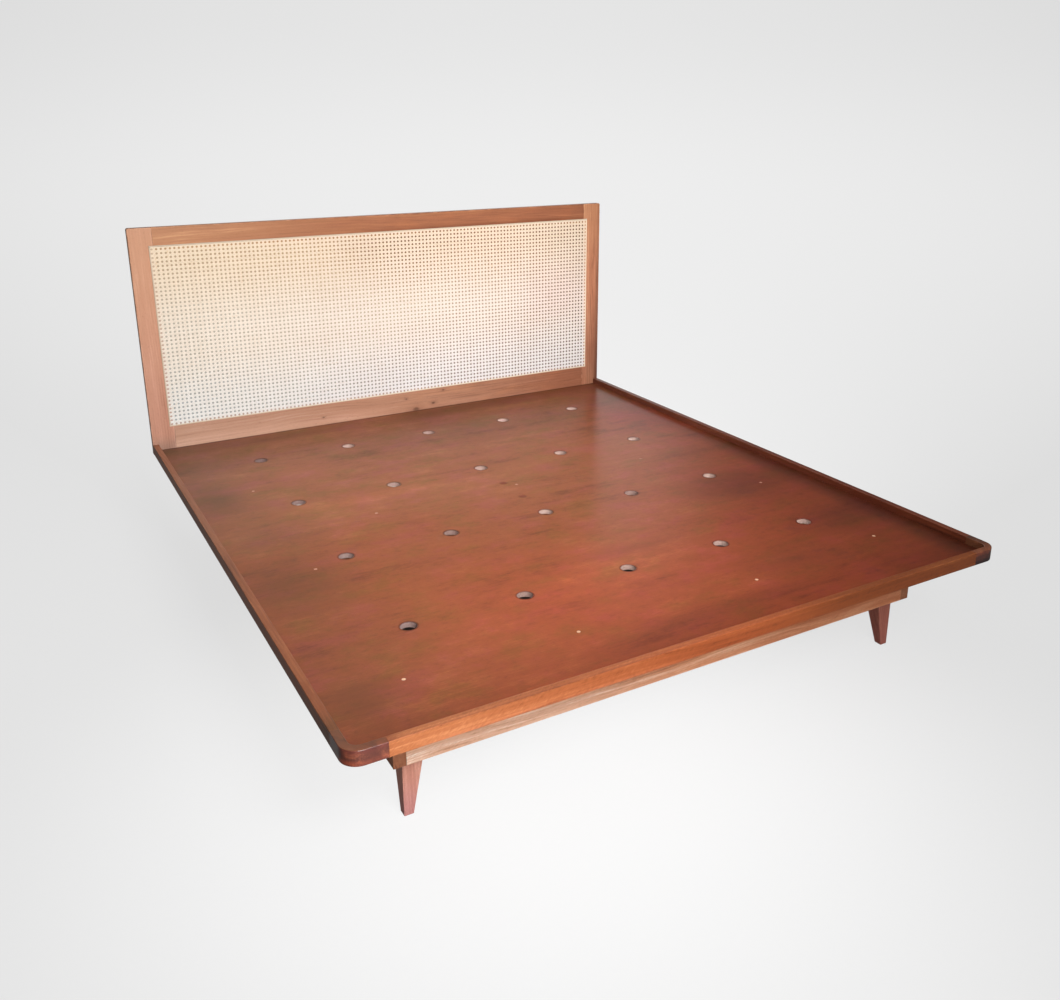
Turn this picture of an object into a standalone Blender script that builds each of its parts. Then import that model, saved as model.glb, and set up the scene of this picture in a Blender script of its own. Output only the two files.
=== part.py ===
"""Low platform bed with a cane headboard.

Metres, +Z up. The origin is on the floor under the middle of the bed.
X runs across the bed, +Y points from the foot to the headboard.
"""

import math

import bmesh
import bpy
from mathutils import Vector

# ---------------------------------------------------------------- dimensions
GAP = 0.0003  # clearance between pieces that touch

WIDTH = 1.860  # over the rim, and over the headboard
FOOT_TO_HEADBOARD = 2.044  # face of the foot rail to face of the headboard
HEADBOARD_T = 0.025
STRUT_T = 0.030
LENGTH = FOOT_TO_HEADBOARD + HEADBOARD_T + STRUT_T

LEG_CLEAR = 0.152  # floor to the underside of the base frame
BASE_H = 0.152  # depth of the base frame
DECK_T = 0.015
RIM_H = 0.036
RIM_T = 0.020
HEADBOARD_H = 0.793  # from the underside of the rim to the top

CORNER_R = 0.040  # outer radius of the foot corners
CORNER_LEG = 0.088  # reach of a corner block along each side
ARRIS = 0.0016  # eased edges of the rim and the headboard

BEAM_T = 0.030
BEAM_OUTER_X = 0.780  # outer face of the side beams
APRON_INSET = 0.156  # face of the foot rail to face of the front apron

LEG_TOP = 0.053  # square section inside the base frame
LEG_FOOT = 0.023  # square section on the floor
CENTRE_HEAD_X, CENTRE_HEAD_Y, CENTRE_HEAD_RISE = 0.060, 0.070, 0.060
CENTRE_FOOT = 0.032

CLEAT_W, CLEAT_H = 0.050, 0.060
SEAM_AT = 1.0825  # face of the foot rail to the seam between the deck sheets
SEAM_BOARD_W, SEAM_BOARD_T = 0.176, 0.030

VENT_D = 0.042
VENT_COLUMNS, VENT_PITCH_X = 5, 0.313
VENT_ROWS, VENT_PITCH_Y, VENT_FIRST_Y = 4, 0.4425, 0.430
VENT_SIDES = 28

STILE_W = 0.078
TOP_RAIL_W = 0.078
BOTTOM_RAIL_W = 0.1115
STILE_CORNER_R = 0.006
TENON_L, TENON_T, TENON_W = 0.060, 0.008, 0.044

CANE_HALF_X = 0.867  # outer edge of the splines
CANE_LOW, CANE_HIGH = 0.0955, 0.7324  # outer edges above the rim's underside
CANE_T = 0.002
SPLINE_W, SPLINE_PROUD, SPLINE_DEEP, GROOVE_DEEP = 0.005, 0.0022, 0.0055, 0.006
BACK_PANEL_T = 0.006

STRUT_X, STRUT_W = 0.520, 0.070
STRUT_LOW, STRUT_HIGH = 0.160, 1.075
BOLT_HEAD_R, BOLT_HEAD_H, BOLT_R = 0.009, 0.005, 0.004
BOLT_RECESS_R, BOLT_RECESS = 0.012, 0.008

SCREW_HEAD_R, SCREW_HEAD_H, SCREW_R, SCREW_L = 0.0046, 0.0034, 0.0020, 0.038
PLUG_R, PLUG_H = 0.0105, 0.010

# ------------------------------------------------------------ derived levels
Y_FOOT = -LENGTH / 2
Y_FACE = Y_FOOT + FOOT_TO_HEADBOARD  # front face of the headboard
Y_REAR = Y_FACE + HEADBOARD_T  # back of the headboard and of the base
Y_BACK = LENGTH / 2
HALF = WIDTH / 2
Z_BASE = LEG_CLEAR
Z_DECK = LEG_CLEAR + BASE_H  # underside of the deck and of the rim
Z_BED = Z_DECK + DECK_T  # top of the deck
Z_RIM = Z_DECK + RIM_H
Z_TOP = Z_DECK + HEADBOARD_H
Z_SEAT = Z_DECK - GAP  # top of everything that carries the deck
BEAM_INNER_X = BEAM_OUTER_X - BEAM_T
INNER_X = BEAM_INNER_X - GAP  # outermost reach of what sits between the beams
Y_SEAM = Y_FOOT + SEAM_AT
Y_LEG_FRONT = Y_FOOT + APRON_INSET + BEAM_T + GAP
Y_LEG_REAR = Y_REAR - BEAM_T - GAP
STILE_IN = HALF - STILE_W

# --------------------------------------------------------------- clean scene
for old in list(bpy.data.objects):
    bpy.data.objects.remove(old, do_unlink=True)

bed = bpy.data.collections.new("low_platform_bed")
bpy.context.scene.collection.children.link(bed)
cutters = bpy.data.collections.new("cutters")
bpy.context.scene.collection.children.link(cutters)
root = bpy.data.objects.new("bed_origin", None)
bed.objects.link(root)


# ----------------------------------------------------------------- materials
def linear(value):
    value /= 255
    return value / 12.92 if value <= 0.04045 else ((value + 0.055) / 1.055) ** 2.4


def material(name, rgb, roughness, metallic=0.0):
    made = bpy.data.materials.new(name)
    made.use_nodes = True
    shader = made.node_tree.nodes["Principled BSDF"]
    shader.inputs["Base Color"].default_value = (*map(linear, rgb), 1.0)
    shader.inputs["Roughness"].default_value = roughness
    shader.inputs["Metallic"].default_value = metallic
    return made


WOODS = {
    "frame": ((186, 122, 84), 0.42),
    "rim": ((196, 116, 70), 0.38),
    "corner": ((104, 62, 48), 0.32),
    "deck": ((152, 90, 60), 0.34),
    "apron": ((206, 150, 116), 0.48),
    "beam": ((150, 94, 66), 0.52),
    "leg": ((178, 108, 86), 0.46),
    "inner": ((176, 134, 98), 0.62),
    "panel": ((150, 120, 92), 0.66),
    "plug": ((84, 42, 30), 0.45),
    "cane": ((240, 222, 192), 0.58),
}


def wood(kind, owner):
    rgb, roughness = WOODS[kind]
    return material(owner + "_finish", rgb, roughness)


def steel(owner):
    return material(owner + "_finish", (214, 204, 186), 0.36, 1.0)


# ------------------------------------------------------------ building tools
def place(name, mesh, finish, at=(0, 0, 0)):
    made = bpy.data.objects.new(name, mesh)
    made.location = at
    made.parent = root
    bed.objects.link(made)
    mesh.materials.clear()
    mesh.materials.append(finish)
    return made


def cube_bmesh(low, high):
    """A box of the given corners, centred on the origin, and its true centre."""
    low, high = Vector(low), Vector(high)
    bm = bmesh.new()
    bmesh.ops.create_cube(bm, size=1.0)
    bmesh.ops.scale(bm, vec=high - low, verts=bm.verts)
    return bm, (low + high) / 2


def to_mesh(name, bm):
    mesh = bpy.data.meshes.new(name)
    bmesh.ops.recalc_face_normals(bm, faces=bm.faces)
    bm.to_mesh(mesh)
    bm.free()
    return mesh


def ease(obj, width, segments=2, by_weight=False):
    bevel = obj.modifiers.new("eased edges", "BEVEL")
    bevel.width = width
    bevel.segments = segments
    bevel.limit_method = "WEIGHT" if by_weight else "ANGLE"
    bevel.angle_limit = math.radians(40)
    bevel.use_clamp_overlap = True
    return obj


def weigh(bm, weight_of):
    """Gives each edge the bevel weight that weight_of returns for its ends."""
    layer = bm.edges.layers.float.new("bevel_weight_edge")
    for edge in bm.edges:
        edge[layer] = weight_of(edge.verts[0].co, edge.verts[1].co)


def board(name, low, high, finish, width=0.001, segments=1, along=None):
    """A straight piece. With along, only the edges on that axis are eased."""
    bm, centre = cube_bmesh(low, high)
    if along is not None:
        weigh(bm, lambda a, b: float(abs(a[along] - b[along]) > 1e-4))
    made = place(name, to_mesh(name, bm), finish, centre)
    return ease(made, width, segments, by_weight=along is not None)


def cutter_box(name, low, high):
    bm, centre = cube_bmesh(low, high)
    return cutter(name, to_mesh(name, bm), centre)


def cutter(name, mesh, at=(0, 0, 0)):
    made = bpy.data.objects.new(name, mesh)
    made.location = at
    made.parent = root
    made.hide_render = True
    made.display_type = "WIRE"
    cutters.objects.link(made)
    return made


def cut(obj, *tools):
    for tool in tools:
        boolean = obj.modifiers.new("cut " + tool.name, "BOOLEAN")
        boolean.operation = "DIFFERENCE"
        boolean.solver = "EXACT"
        boolean.object = tool
    return obj


def grown(low, high, by=GAP):
    return [v - by for v in low], [v + by for v in high]


def profile_mesh(name, points):
    """A profile of (radius, height) points on the XZ plane, outer side downwards."""
    bm = bmesh.new()
    verts = [bm.verts.new((r, 0.0, z)) for r, z in points]
    for first, second in zip(verts, verts[1:]):
        bm.edges.new((first, second))
    mesh = bpy.data.meshes.new(name)
    bm.to_mesh(mesh)
    bm.free()
    return mesh


def turn(obj, steps):
    screw = obj.modifiers.new("turned", "SCREW")
    screw.axis = "Z"
    screw.angle = math.tau
    screw.screw_offset = 0.0
    screw.steps = screw.render_steps = steps
    screw.use_merge_vertices = True
    screw.merge_threshold = 0.00001
    screw.use_smooth_shade = True
    return obj


def outline_mesh(name, loops, half):
    """A flat outline of (x, y) loops, the first outside and the rest holes."""
    curve = bpy.data.curves.new(name, "CURVE")
    curve.dimensions = "2D"
    curve.fill_mode = "BOTH"
    curve.extrude = half
    for loop in loops:
        spline = curve.splines.new("POLY")
        spline.points.add(len(loop) - 1)
        for point, (x, y) in zip(spline.points, loop):
            point.co = (x, y, 0.0, 1.0)
        spline.use_cyclic_u = True
    holder = bpy.data.objects.new(name + "_outline", curve)
    bed.objects.link(holder)
    graph = bpy.context.evaluated_depsgraph_get()
    mesh = bpy.data.meshes.new_from_object(holder.evaluated_get(graph))
    bpy.data.objects.remove(holder, do_unlink=True)
    mesh.name = name
    bm = bmesh.new()
    bm.from_mesh(mesh)
    bmesh.ops.remove_doubles(bm, verts=bm.verts, dist=0.00002)
    bmesh.ops.recalc_face_normals(bm, faces=bm.faces)
    return mesh, bm


def arc(cx, cy, radius, start, end, steps):
    """Points on an arc, angles in degrees."""
    for i in range(steps + 1):
        angle = math.radians(start + (end - start) * i / steps)
        yield cx + radius * math.cos(angle), cy + radius * math.sin(angle)


def smooth(obj, degrees=35):
    obj.data.shade_smooth()
    obj.data.set_sharp_from_angle(angle=math.radians(degrees))
    return obj


# ------------------------------------------------------------- headboard frame
headboard = {}
for side, sign in (("left", -1), ("right", 1)):
    name = "headboard_stile_" + side
    low_x, high_x = sorted((sign * STILE_IN, sign * HALF))
    bm, centre = cube_bmesh((low_x, Y_FACE, Z_DECK), (high_x, Y_REAR, Z_TOP))
    half_h, half_w = (Z_TOP - Z_DECK) / 2, STILE_W / 2
    corner = [
        edge
        for edge in bm.edges
        if all(v.co.z > half_h - 1e-4 and sign * v.co.x > half_w - 1e-4 for v in edge.verts)
    ]
    bmesh.ops.bevel(bm, geom=corner, offset=STILE_CORNER_R, segments=4, profile=0.5, affect="EDGES")
    weigh(
        bm,
        lambda a, b: 0.0
        if abs(a.y - b.y) > 1e-4
        else (0.3 if sign * a.x < -half_w + 1e-4 and sign * b.x < -half_w + 1e-4 else 1.0),
    )
    headboard[name] = ease(place(name, to_mesh(name, bm), wood("frame", name), centre), ARRIS, 2, True)

for name, low_z, high_z, inner_sign in (
    ("headboard_top_rail", Z_TOP - TOP_RAIL_W, Z_TOP, -1),
    ("headboard_bottom_rail", Z_DECK, Z_DECK + BOTTOM_RAIL_W, 1),
):
    bm, centre = cube_bmesh((-STILE_IN + GAP, Y_FACE, low_z), (STILE_IN - GAP, Y_REAR, high_z))
    half_h = (high_z - low_z) / 2
    weigh(
        bm,
        lambda a, b: 0.0
        if abs(a.x - b.x) < 1e-4
        else (0.3 if inner_sign * a.z > half_h - 1e-4 else 1.0),
    )
    headboard[name] = ease(place(name, to_mesh(name, bm), wood("frame", name), centre), ARRIS, 2, True)

# Loose tenons, half in the rail and half in the stile.
Y_TENON = Y_FACE + HEADBOARD_T / 2
for level, z in (("top", Z_TOP - TOP_RAIL_W / 2), ("bottom", Z_DECK + BOTTOM_RAIL_W / 2)):
    for side, sign in (("left", -1), ("right", 1)):
        name = f"tenon_{level}_{side}"
        x = sign * STILE_IN
        low = (x - TENON_L / 2, Y_TENON - TENON_T / 2, z - TENON_W / 2)
        high = (x + TENON_L / 2, Y_TENON + TENON_T / 2, z + TENON_W / 2)
        board(name, low, high, wood("inner", name), 0.0025, 2, along=0)
        mortise = cutter_box(name + "_mortise", *grown(low, high))
        cut(headboard["headboard_stile_" + side], mortise)
        cut(headboard[f"headboard_{level}_rail"], mortise)

# Cane sheet in front of the frame, and the splines that press its edges into a groove.
Z_CANE0, Z_CANE1 = Z_DECK + CANE_LOW, Z_DECK + CANE_HIGH
inside_x, inside_low, inside_high = CANE_HALF_X - SPLINE_W, Z_CANE0 + SPLINE_W, Z_CANE1 - SPLINE_W
grooves = {
    "top": ((-CANE_HALF_X, inside_high), (CANE_HALF_X, Z_CANE1)),
    "bottom": ((-CANE_HALF_X, Z_CANE0), (CANE_HALF_X, inside_low)),
    "left": ((-CANE_HALF_X, inside_low), (-inside_x, inside_high)),
    "right": ((inside_x, inside_low), (CANE_HALF_X, inside_high)),
}
for side, ((x0, z0), (x1, z1)) in grooves.items():
    name = "cane_spline_" + side
    along = 0 if side in ("top", "bottom") else 2
    board(
        name,
        (x0 + GAP, Y_FACE - SPLINE_PROUD, z0 + GAP),
        (x1 - GAP, Y_FACE + SPLINE_DEEP, z1 - GAP),
        wood("cane", name),
        0.0016,
        2,
        along=along,
    )
    into = 0.002 if along == 2 else 0.0  # upright grooves run into the level ones
    groove = cutter_box(
        name + "_groove",
        (x0, Y_FACE - 0.01, z0 - into),
        (x1, Y_FACE + GROOVE_DEEP, z1 + into),
    )
    stiles = ["headboard_stile_" + side] if along == 2 else ["headboard_stile_left", "headboard_stile_right"]
    rails = [f"headboard_{side}_rail"] if along == 0 else []
    for member in stiles + rails:
        cut(headboard[member], groove)

board(
    "cane_webbing",
    (-inside_x + GAP, Y_FACE - GAP - CANE_T, inside_low + GAP),
    (inside_x - GAP, Y_FACE - GAP, inside_high - GAP),
    wood("cane", "cane_webbing"),
    0.0004,
)

# Ply panel glued into the opening of the frame, flush with its face, so that the cane lies on it.
board(
    "headboard_back_panel",
    (-STILE_IN + GAP, Y_FACE + GAP, Z_DECK + BOTTOM_RAIL_W + GAP),
    (STILE_IN - GAP, Y_FACE + GAP + BACK_PANEL_T, Z_TOP - TOP_RAIL_W - GAP),
    wood("panel", "headboard_back_panel"),
    0.0005,
)

# ------------------------------------------------------------------- base frame
rear_apron = board(
    "rear_apron",
    (-INNER_X, Y_REAR - BEAM_T, Z_BASE),
    (INNER_X, Y_REAR, Z_SEAT),
    wood("beam", "rear_apron"),
    along=0,
)
board(
    "front_apron",
    (-INNER_X, Y_FOOT + APRON_INSET, Z_BASE),
    (INNER_X, Y_FOOT + APRON_INSET + BEAM_T, Z_SEAT),
    wood("apron", "front_apron"),
    0.0015,
    2,
    along=0,
)
for side, sign in (("left", -1), ("right", 1)):
    low_x, high_x = sorted((sign * BEAM_INNER_X, sign * BEAM_OUTER_X))
    board(
        "side_beam_" + side,
        (low_x, Y_FOOT + APRON_INSET, Z_BASE),
        (high_x, Y_REAR, Z_SEAT),
        wood("beam", "side_beam_" + side),
        0.0015,
        2,
    )

# Corner legs: square in the base frame, tapered on the two inner faces below it.
legs = {}
for end, y_outer, into in (("front", Y_LEG_FRONT, 1), ("rear", Y_LEG_REAR, -1)):
    for side, sign in (("left", -1), ("right", 1)):
        name = f"leg_{end}_{side}"
        low_x, high_x = sorted((sign * INNER_X, sign * (INNER_X - LEG_TOP)))
        low_y, high_y = sorted((y_outer, y_outer + into * LEG_TOP))
        bm, centre = cube_bmesh((low_x, low_y, 0.0), (high_x, high_y, Z_SEAT))
        bmesh.ops.bisect_plane(
            bm,
            geom=bm.verts[:] + bm.edges[:] + bm.faces[:],
            plane_co=(0, 0, LEG_CLEAR - Z_SEAT / 2),
            plane_no=(0, 0, 1),
        )
        for vert in bm.verts:
            if vert.co.z < -Z_SEAT / 2 + 1e-4:
                if -sign * vert.co.x > 0:
                    vert.co.x += sign * (LEG_TOP - LEG_FOOT)
                if into * vert.co.y > 0:
                    vert.co.y -= into * (LEG_TOP - LEG_FOOT)
        legs[name] = ease(place(name, to_mesh(name, bm), wood("leg", name), centre), 0.0018, 2)

# Cleats inside the base frame, which the deck is screwed to.
Z_CLEAT = Z_SEAT - CLEAT_H
reach_x = INNER_X - LEG_TOP - GAP
cleats = {
    "cleat_front": board(
        "cleat_front",
        (-reach_x, Y_LEG_FRONT, Z_CLEAT),
        (reach_x, Y_LEG_FRONT + CLEAT_W, Z_SEAT),
        wood("inner", "cleat_front"),
    ),
    "cleat_rear": board(
        "cleat_rear",
        (-reach_x, Y_LEG_REAR - CLEAT_W, Z_CLEAT),
        (reach_x, Y_LEG_REAR, Z_SEAT),
        wood("inner", "cleat_rear"),
    ),
}
side_cleat_boxes = []
for side, sign in (("left", -1), ("right", 1)):
    name = "cleat_" + side
    low_x, high_x = sorted((sign * INNER_X, sign * (INNER_X - CLEAT_W)))
    low = (low_x, Y_LEG_FRONT + LEG_TOP + GAP, Z_CLEAT)
    high = (high_x, Y_LEG_REAR - LEG_TOP - GAP, Z_SEAT)
    cleats[name] = board(name, low, high, wood("inner", name))
    side_cleat_boxes.append((name, low, high))

# Board under the seam of the deck, housed in the side cleats, on a beam set on edge.
seam_low = (-INNER_X, Y_SEAM - SEAM_BOARD_W / 2, Z_SEAT - SEAM_BOARD_T)
seam_high = (INNER_X, Y_SEAM + SEAM_BOARD_W / 2, Z_SEAT)
seam_board = board("seam_board", seam_low, seam_high, wood("inner", "seam_board"))
housing = cutter_box(
    "seam_board_housing",
    (seam_low[0] - 0.01, seam_low[1] - GAP, seam_low[2] - GAP),
    (seam_high[0] + 0.01, seam_high[1] + GAP, seam_high[2] + 0.01),
)
cut(cleats["cleat_left"], housing)
cut(cleats["cleat_right"], housing)

cross_beam = board(
    "cross_beam",
    (-INNER_X, Y_SEAM - BEAM_T / 2, Z_BASE),
    (INNER_X, Y_SEAM + BEAM_T / 2, seam_low[2] - GAP),
    wood("beam", "cross_beam"),
)
for name, low, high in side_cleat_boxes:
    sign = -1 if low[0] < 0 else 1
    reach = sorted((sign * (INNER_X - CLEAT_W - GAP), sign * (INNER_X + 0.01)))
    cut(
        cross_beam,
        cutter_box(
            name + "_notch",
            (reach[0], Y_SEAM - BEAM_T, Z_CLEAT - GAP),
            (reach[1], Y_SEAM + BEAM_T, Z_SEAT + 0.01),
        ),
    )

# Centre leg: its forked head straddles the cross beam.
bm, centre = cube_bmesh(
    (-CENTRE_HEAD_X / 2, Y_SEAM - CENTRE_HEAD_Y / 2, 0.0),
    (CENTRE_HEAD_X / 2, Y_SEAM + CENTRE_HEAD_Y / 2, LEG_CLEAR + CENTRE_HEAD_RISE),
)
half_h = (LEG_CLEAR + CENTRE_HEAD_RISE) / 2
bmesh.ops.bisect_plane(
    bm,
    geom=bm.verts[:] + bm.edges[:] + bm.faces[:],
    plane_co=(0, 0, LEG_CLEAR - half_h),
    plane_no=(0, 0, 1),
)
for vert in bm.verts:
    if vert.co.z < -half_h + 1e-4:
        vert.co.x = math.copysign(CENTRE_FOOT / 2, vert.co.x)
        vert.co.y = math.copysign(CENTRE_FOOT / 2, vert.co.y)
centre_leg = ease(place("centre_leg", to_mesh("centre_leg", bm), wood("leg", "centre_leg"), centre), 0.0018, 2)
cut(
    centre_leg,
    cutter_box(
        "centre_leg_fork",
        (-CENTRE_HEAD_X, Y_SEAM - BEAM_T / 2 - GAP, LEG_CLEAR - GAP),
        (CENTRE_HEAD_X, Y_SEAM + BEAM_T / 2 + GAP, LEG_CLEAR + 2 * CENTRE_HEAD_RISE),
    ),
)

# ------------------------------------------------------------------------- rim
board(
    "foot_rail",
    (-HALF + CORNER_LEG + GAP, Y_FOOT, Z_DECK),
    (HALF - CORNER_LEG - GAP, Y_FOOT + RIM_T, Z_RIM),
    wood("rim", "foot_rail"),
    ARRIS,
    2,
    along=0,
)
for side, sign in (("left", -1), ("right", 1)):
    low_x, high_x = sorted((sign * HALF, sign * (HALF - RIM_T)))
    board(
        "side_rail_" + side,
        (low_x, Y_FOOT + CORNER_LEG + GAP, Z_DECK),
        (high_x, Y_FACE - GAP, Z_RIM),
        wood("rim", "side_rail_" + side),
        ARRIS,
        2,
        along=1,
    )

INNER_R = CORNER_R - RIM_T
for side, sign in (("left", -1), ("right", 1)):
    name = "corner_block_" + side
    # Outline for the right-hand corner, measured from the corner of the rim.
    loop = [(-CORNER_LEG, 0.0)]
    loop += arc(-CORNER_R, CORNER_R, CORNER_R, -90, 0, 10)
    loop += [(0.0, CORNER_LEG), (-RIM_T, CORNER_LEG)]
    loop += arc(-CORNER_R, CORNER_R, INNER_R, 0, -90, 8)
    loop += [(-CORNER_LEG, RIM_T)]
    mesh, bm = outline_mesh(name, [[(sign * x, y) for x, y in loop]], RIM_H / 2)
    bmesh.ops.dissolve_limit(bm, angle_limit=0.01, verts=bm.verts, edges=bm.edges)

    def arris_weight(a, b):
        flat = abs(a.z - b.z) < 1e-5
        on_end = (abs(a.y - CORNER_LEG) < 1e-5 and abs(b.y - CORNER_LEG) < 1e-5) or (
            abs(abs(a.x) - CORNER_LEG) < 1e-5 and abs(abs(b.x) - CORNER_LEG) < 1e-5
        )
        return 1.0 if flat and not on_end else 0.0

    weigh(bm, arris_weight)
    bm.to_mesh(mesh)
    bm.free()
    block = place(name, mesh, wood("corner", name), (sign * HALF, Y_FOOT, Z_DECK + RIM_H / 2))
    smooth(block, 35)
    ease(block, ARRIS, 2, by_weight=True)

# ------------------------------------------------------------------------ deck
def circle(cx, cy, radius, sides):
    return [
        (cx + radius * math.cos(math.tau * i / sides), cy + radius * math.sin(math.tau * i / sides))
        for i in range(sides)
    ]


def vents(rows):
    for row in rows:
        for column in range(VENT_COLUMNS):
            x = (column - (VENT_COLUMNS - 1) / 2) * VENT_PITCH_X
            yield circle(x, Y_FOOT + VENT_FIRST_Y + row * VENT_PITCH_Y, VENT_D / 2, VENT_SIDES)


edge_x = HALF - RIM_T - GAP
front_y, rear_y = Y_FOOT + RIM_T + GAP, Y_FACE - GAP
seam_front, seam_rear = Y_SEAM - GAP / 2, Y_SEAM + GAP / 2
front_loop = [(-edge_x, seam_front)]
front_loop += arc(-edge_x + INNER_R, front_y + INNER_R, INNER_R, 180, 270, 8)
front_loop += arc(edge_x - INNER_R, front_y + INNER_R, INNER_R, 270, 360, 8)
front_loop += [(edge_x, seam_front)]
rear_loop = [(-edge_x, rear_y), (-edge_x, seam_rear), (edge_x, seam_rear), (edge_x, rear_y)]
decks = {}
for name, loop, rows in (("deck_front", front_loop, (0, 1)), ("deck_rear", rear_loop, (2, 3))):
    mesh, bm = outline_mesh(name, [loop, *vents(rows)], DECK_T / 2)
    bm.to_mesh(mesh)
    bm.free()
    decks[name] = place(name, mesh, wood("deck", name), (0, 0, Z_DECK + DECK_T / 2))

# Countersunk screws through the deck. Each entry is across, from the foot, and what it bites.
deck_screws = {
    "left_1": (-0.723, 0.221, legs["leg_front_left"]),
    "left_2": (-0.723, 0.836, cleats["cleat_left"]),
    "left_3": (-0.723, 1.482, cleats["cleat_left"]),
    "front_1": (-0.291, 0.208, cleats["cleat_front"]),
    "front_2": (0.251, 0.208, cleats["cleat_front"]),
    "right_1": (0.727, 0.254, cleats["cleat_right"]),
    "right_2": (0.732, 0.740, cleats["cleat_right"]),
    "middle_1": (-0.447, 1.118, seam_board),
    "middle_2": (0.032, 1.120, seam_board),
    "middle_3": (0.524, 1.124, seam_board),
}


def screw_profile(by):
    """Countersunk screw with its head level with z = 0, grown by a clearance."""
    top = by * 4  # a cutter reaches above the face that it sinks into
    slope = (SCREW_HEAD_R - SCREW_R) / SCREW_HEAD_H
    return [
        (0.0, top),
        (SCREW_HEAD_R + by + slope * top, top),
        (SCREW_R + by, -SCREW_HEAD_H),
        (SCREW_R + by, -SCREW_L + 0.006 - by),
        (0.0, -SCREW_L - by),
    ]


screw_mesh = profile_mesh("deck_screw_profile", screw_profile(0.0))
screw_hole = profile_mesh("deck_screw_hole", screw_profile(GAP))
for label, (x, along_y, bitten) in deck_screws.items():
    name = "deck_screw_" + label
    at = (x, Y_FOOT + along_y, Z_BED - 0.0002)
    turn(place(name, screw_mesh.copy(), steel(name), at), 16)
    hole = turn(cutter(name + "_hole", screw_hole, at), 16)
    deck = decks["deck_front" if along_y < SEAM_AT else "deck_rear"]
    cut(deck, hole)
    cut(bitten, hole)

# Dark plugs on the centre line, one in each sheet.
for label, along_y in (("front", SEAM_AT - 0.0645), ("rear", SEAM_AT + 0.0680)):
    name = "deck_plug_" + label
    at = (0.0, Y_FOOT + along_y, Z_BED)
    profile = [(0.0, 0.0), (PLUG_R, 0.0), (PLUG_R, -PLUG_H), (0.0, -PLUG_H)]
    turn(place(name, profile_mesh(name, profile), wood("plug", name), at), 20)
    hole = profile_mesh(
        name + "_hole",
        [
            (0.0, 0.002),
            (PLUG_R + GAP, 0.002),
            (PLUG_R + GAP, -PLUG_H - GAP),
            (0.0, -PLUG_H - GAP),
        ],
    )
    cut(decks["deck_" + label], turn(cutter(name + "_hole", hole, at), 20))

# ----------------------------------------------- battens behind the headboard
def bolt_profile(length, by):
    """Round-headed bolt whose head's underside is at z = 0, pointing to -Z."""
    dome = [(0.0, BOLT_HEAD_H)]
    for i in range(1, 5):
        angle = math.radians(90 * i / 4)
        dome.append((BOLT_HEAD_R * math.sin(angle), BOLT_HEAD_H * (0.25 + 0.75 * math.cos(angle))))
    dome.append((BOLT_HEAD_R, 0.0))
    return dome + [(BOLT_R, 0.0), (BOLT_R, -length + 0.006), (0.0, -length)]


def bore_profile(length):
    return [
        (0.0, BOLT_RECESS + 0.004),
        (BOLT_RECESS_R, BOLT_RECESS + 0.004),
        (BOLT_RECESS_R, -GAP),
        (BOLT_R + GAP, -GAP),
        (BOLT_R + GAP, -length + 0.006 - GAP),
        (0.0, -length - GAP),
    ]


fixings = {
    "strut_bolt": (0.046, {"lower": (0.195, rear_apron), "upper": (0.262, rear_apron)}),
    "strut_screw": (
        0.040,
        {
            "lower": (0.360, headboard["headboard_bottom_rail"]),
            "upper": (1.052, headboard["headboard_top_rail"]),
        },
    ),
}
facing_back = (-math.pi / 2, 0.0, 0.0)  # a bolt's axis along Y, its head towards +Y
for side, sign in (("left", -1), ("right", 1)):
    x = sign * STRUT_X
    name = "headboard_strut_" + side
    strut = board(
        name,
        (x - STRUT_W / 2, Y_REAR + GAP, STRUT_LOW),
        (x + STRUT_W / 2, Y_BACK, STRUT_HIGH),
        wood("beam", name),
        0.002,
        2,
    )
    for kind, (length, places) in fixings.items():
        for level, (z, bitten) in places.items():
            fixing = f"{kind}_{side}_{level}"
            at = (x, Y_BACK - BOLT_RECESS, z)
            made = place(fixing, profile_mesh(fixing, bolt_profile(length, 0.0)), steel(fixing), at)
            made.rotation_euler = facing_back
            turn(made, 16)
            bore = cutter(fixing + "_bore", profile_mesh(fixing + "_bore", bore_profile(length)), at)
            bore.rotation_euler = facing_back
            turn(bore, 16)
            cut(strut, bore)
            cut(bitten, bore)
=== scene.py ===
"""Looks of a low platform bed with a cane headboard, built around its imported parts.

Metres, +Z up, the same frame as the parts. X runs across the bed, +Y to the headboard.
"""

import math

import bmesh
import bpy
import numpy as np
from mathutils import Matrix, Vector


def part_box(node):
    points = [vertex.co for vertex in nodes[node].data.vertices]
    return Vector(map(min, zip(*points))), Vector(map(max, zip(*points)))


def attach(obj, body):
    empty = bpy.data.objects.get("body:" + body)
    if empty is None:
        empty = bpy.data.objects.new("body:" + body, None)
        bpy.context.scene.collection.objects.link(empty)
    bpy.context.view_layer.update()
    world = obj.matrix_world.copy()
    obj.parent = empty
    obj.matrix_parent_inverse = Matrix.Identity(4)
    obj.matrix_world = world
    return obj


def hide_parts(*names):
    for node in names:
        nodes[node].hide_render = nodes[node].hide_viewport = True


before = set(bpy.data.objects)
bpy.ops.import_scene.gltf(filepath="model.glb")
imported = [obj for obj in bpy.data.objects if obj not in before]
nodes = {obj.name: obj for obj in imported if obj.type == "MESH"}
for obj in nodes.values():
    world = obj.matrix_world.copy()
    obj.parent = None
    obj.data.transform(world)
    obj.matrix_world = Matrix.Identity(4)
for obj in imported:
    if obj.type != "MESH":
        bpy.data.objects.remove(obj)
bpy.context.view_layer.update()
scene = bpy.context.scene
rng = np.random.RandomState(11)

# --------------------------------------------------------------------- camera
FRAME_W, FRAME_H = 1060, 1000
FOCAL_PX, CENTRE_X, CENTRE_Y = 1003.09, 551.02, 424.48
YAW, PITCH, ROLL = math.radians(30.071), math.radians(17.747), math.radians(0.126)

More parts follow.
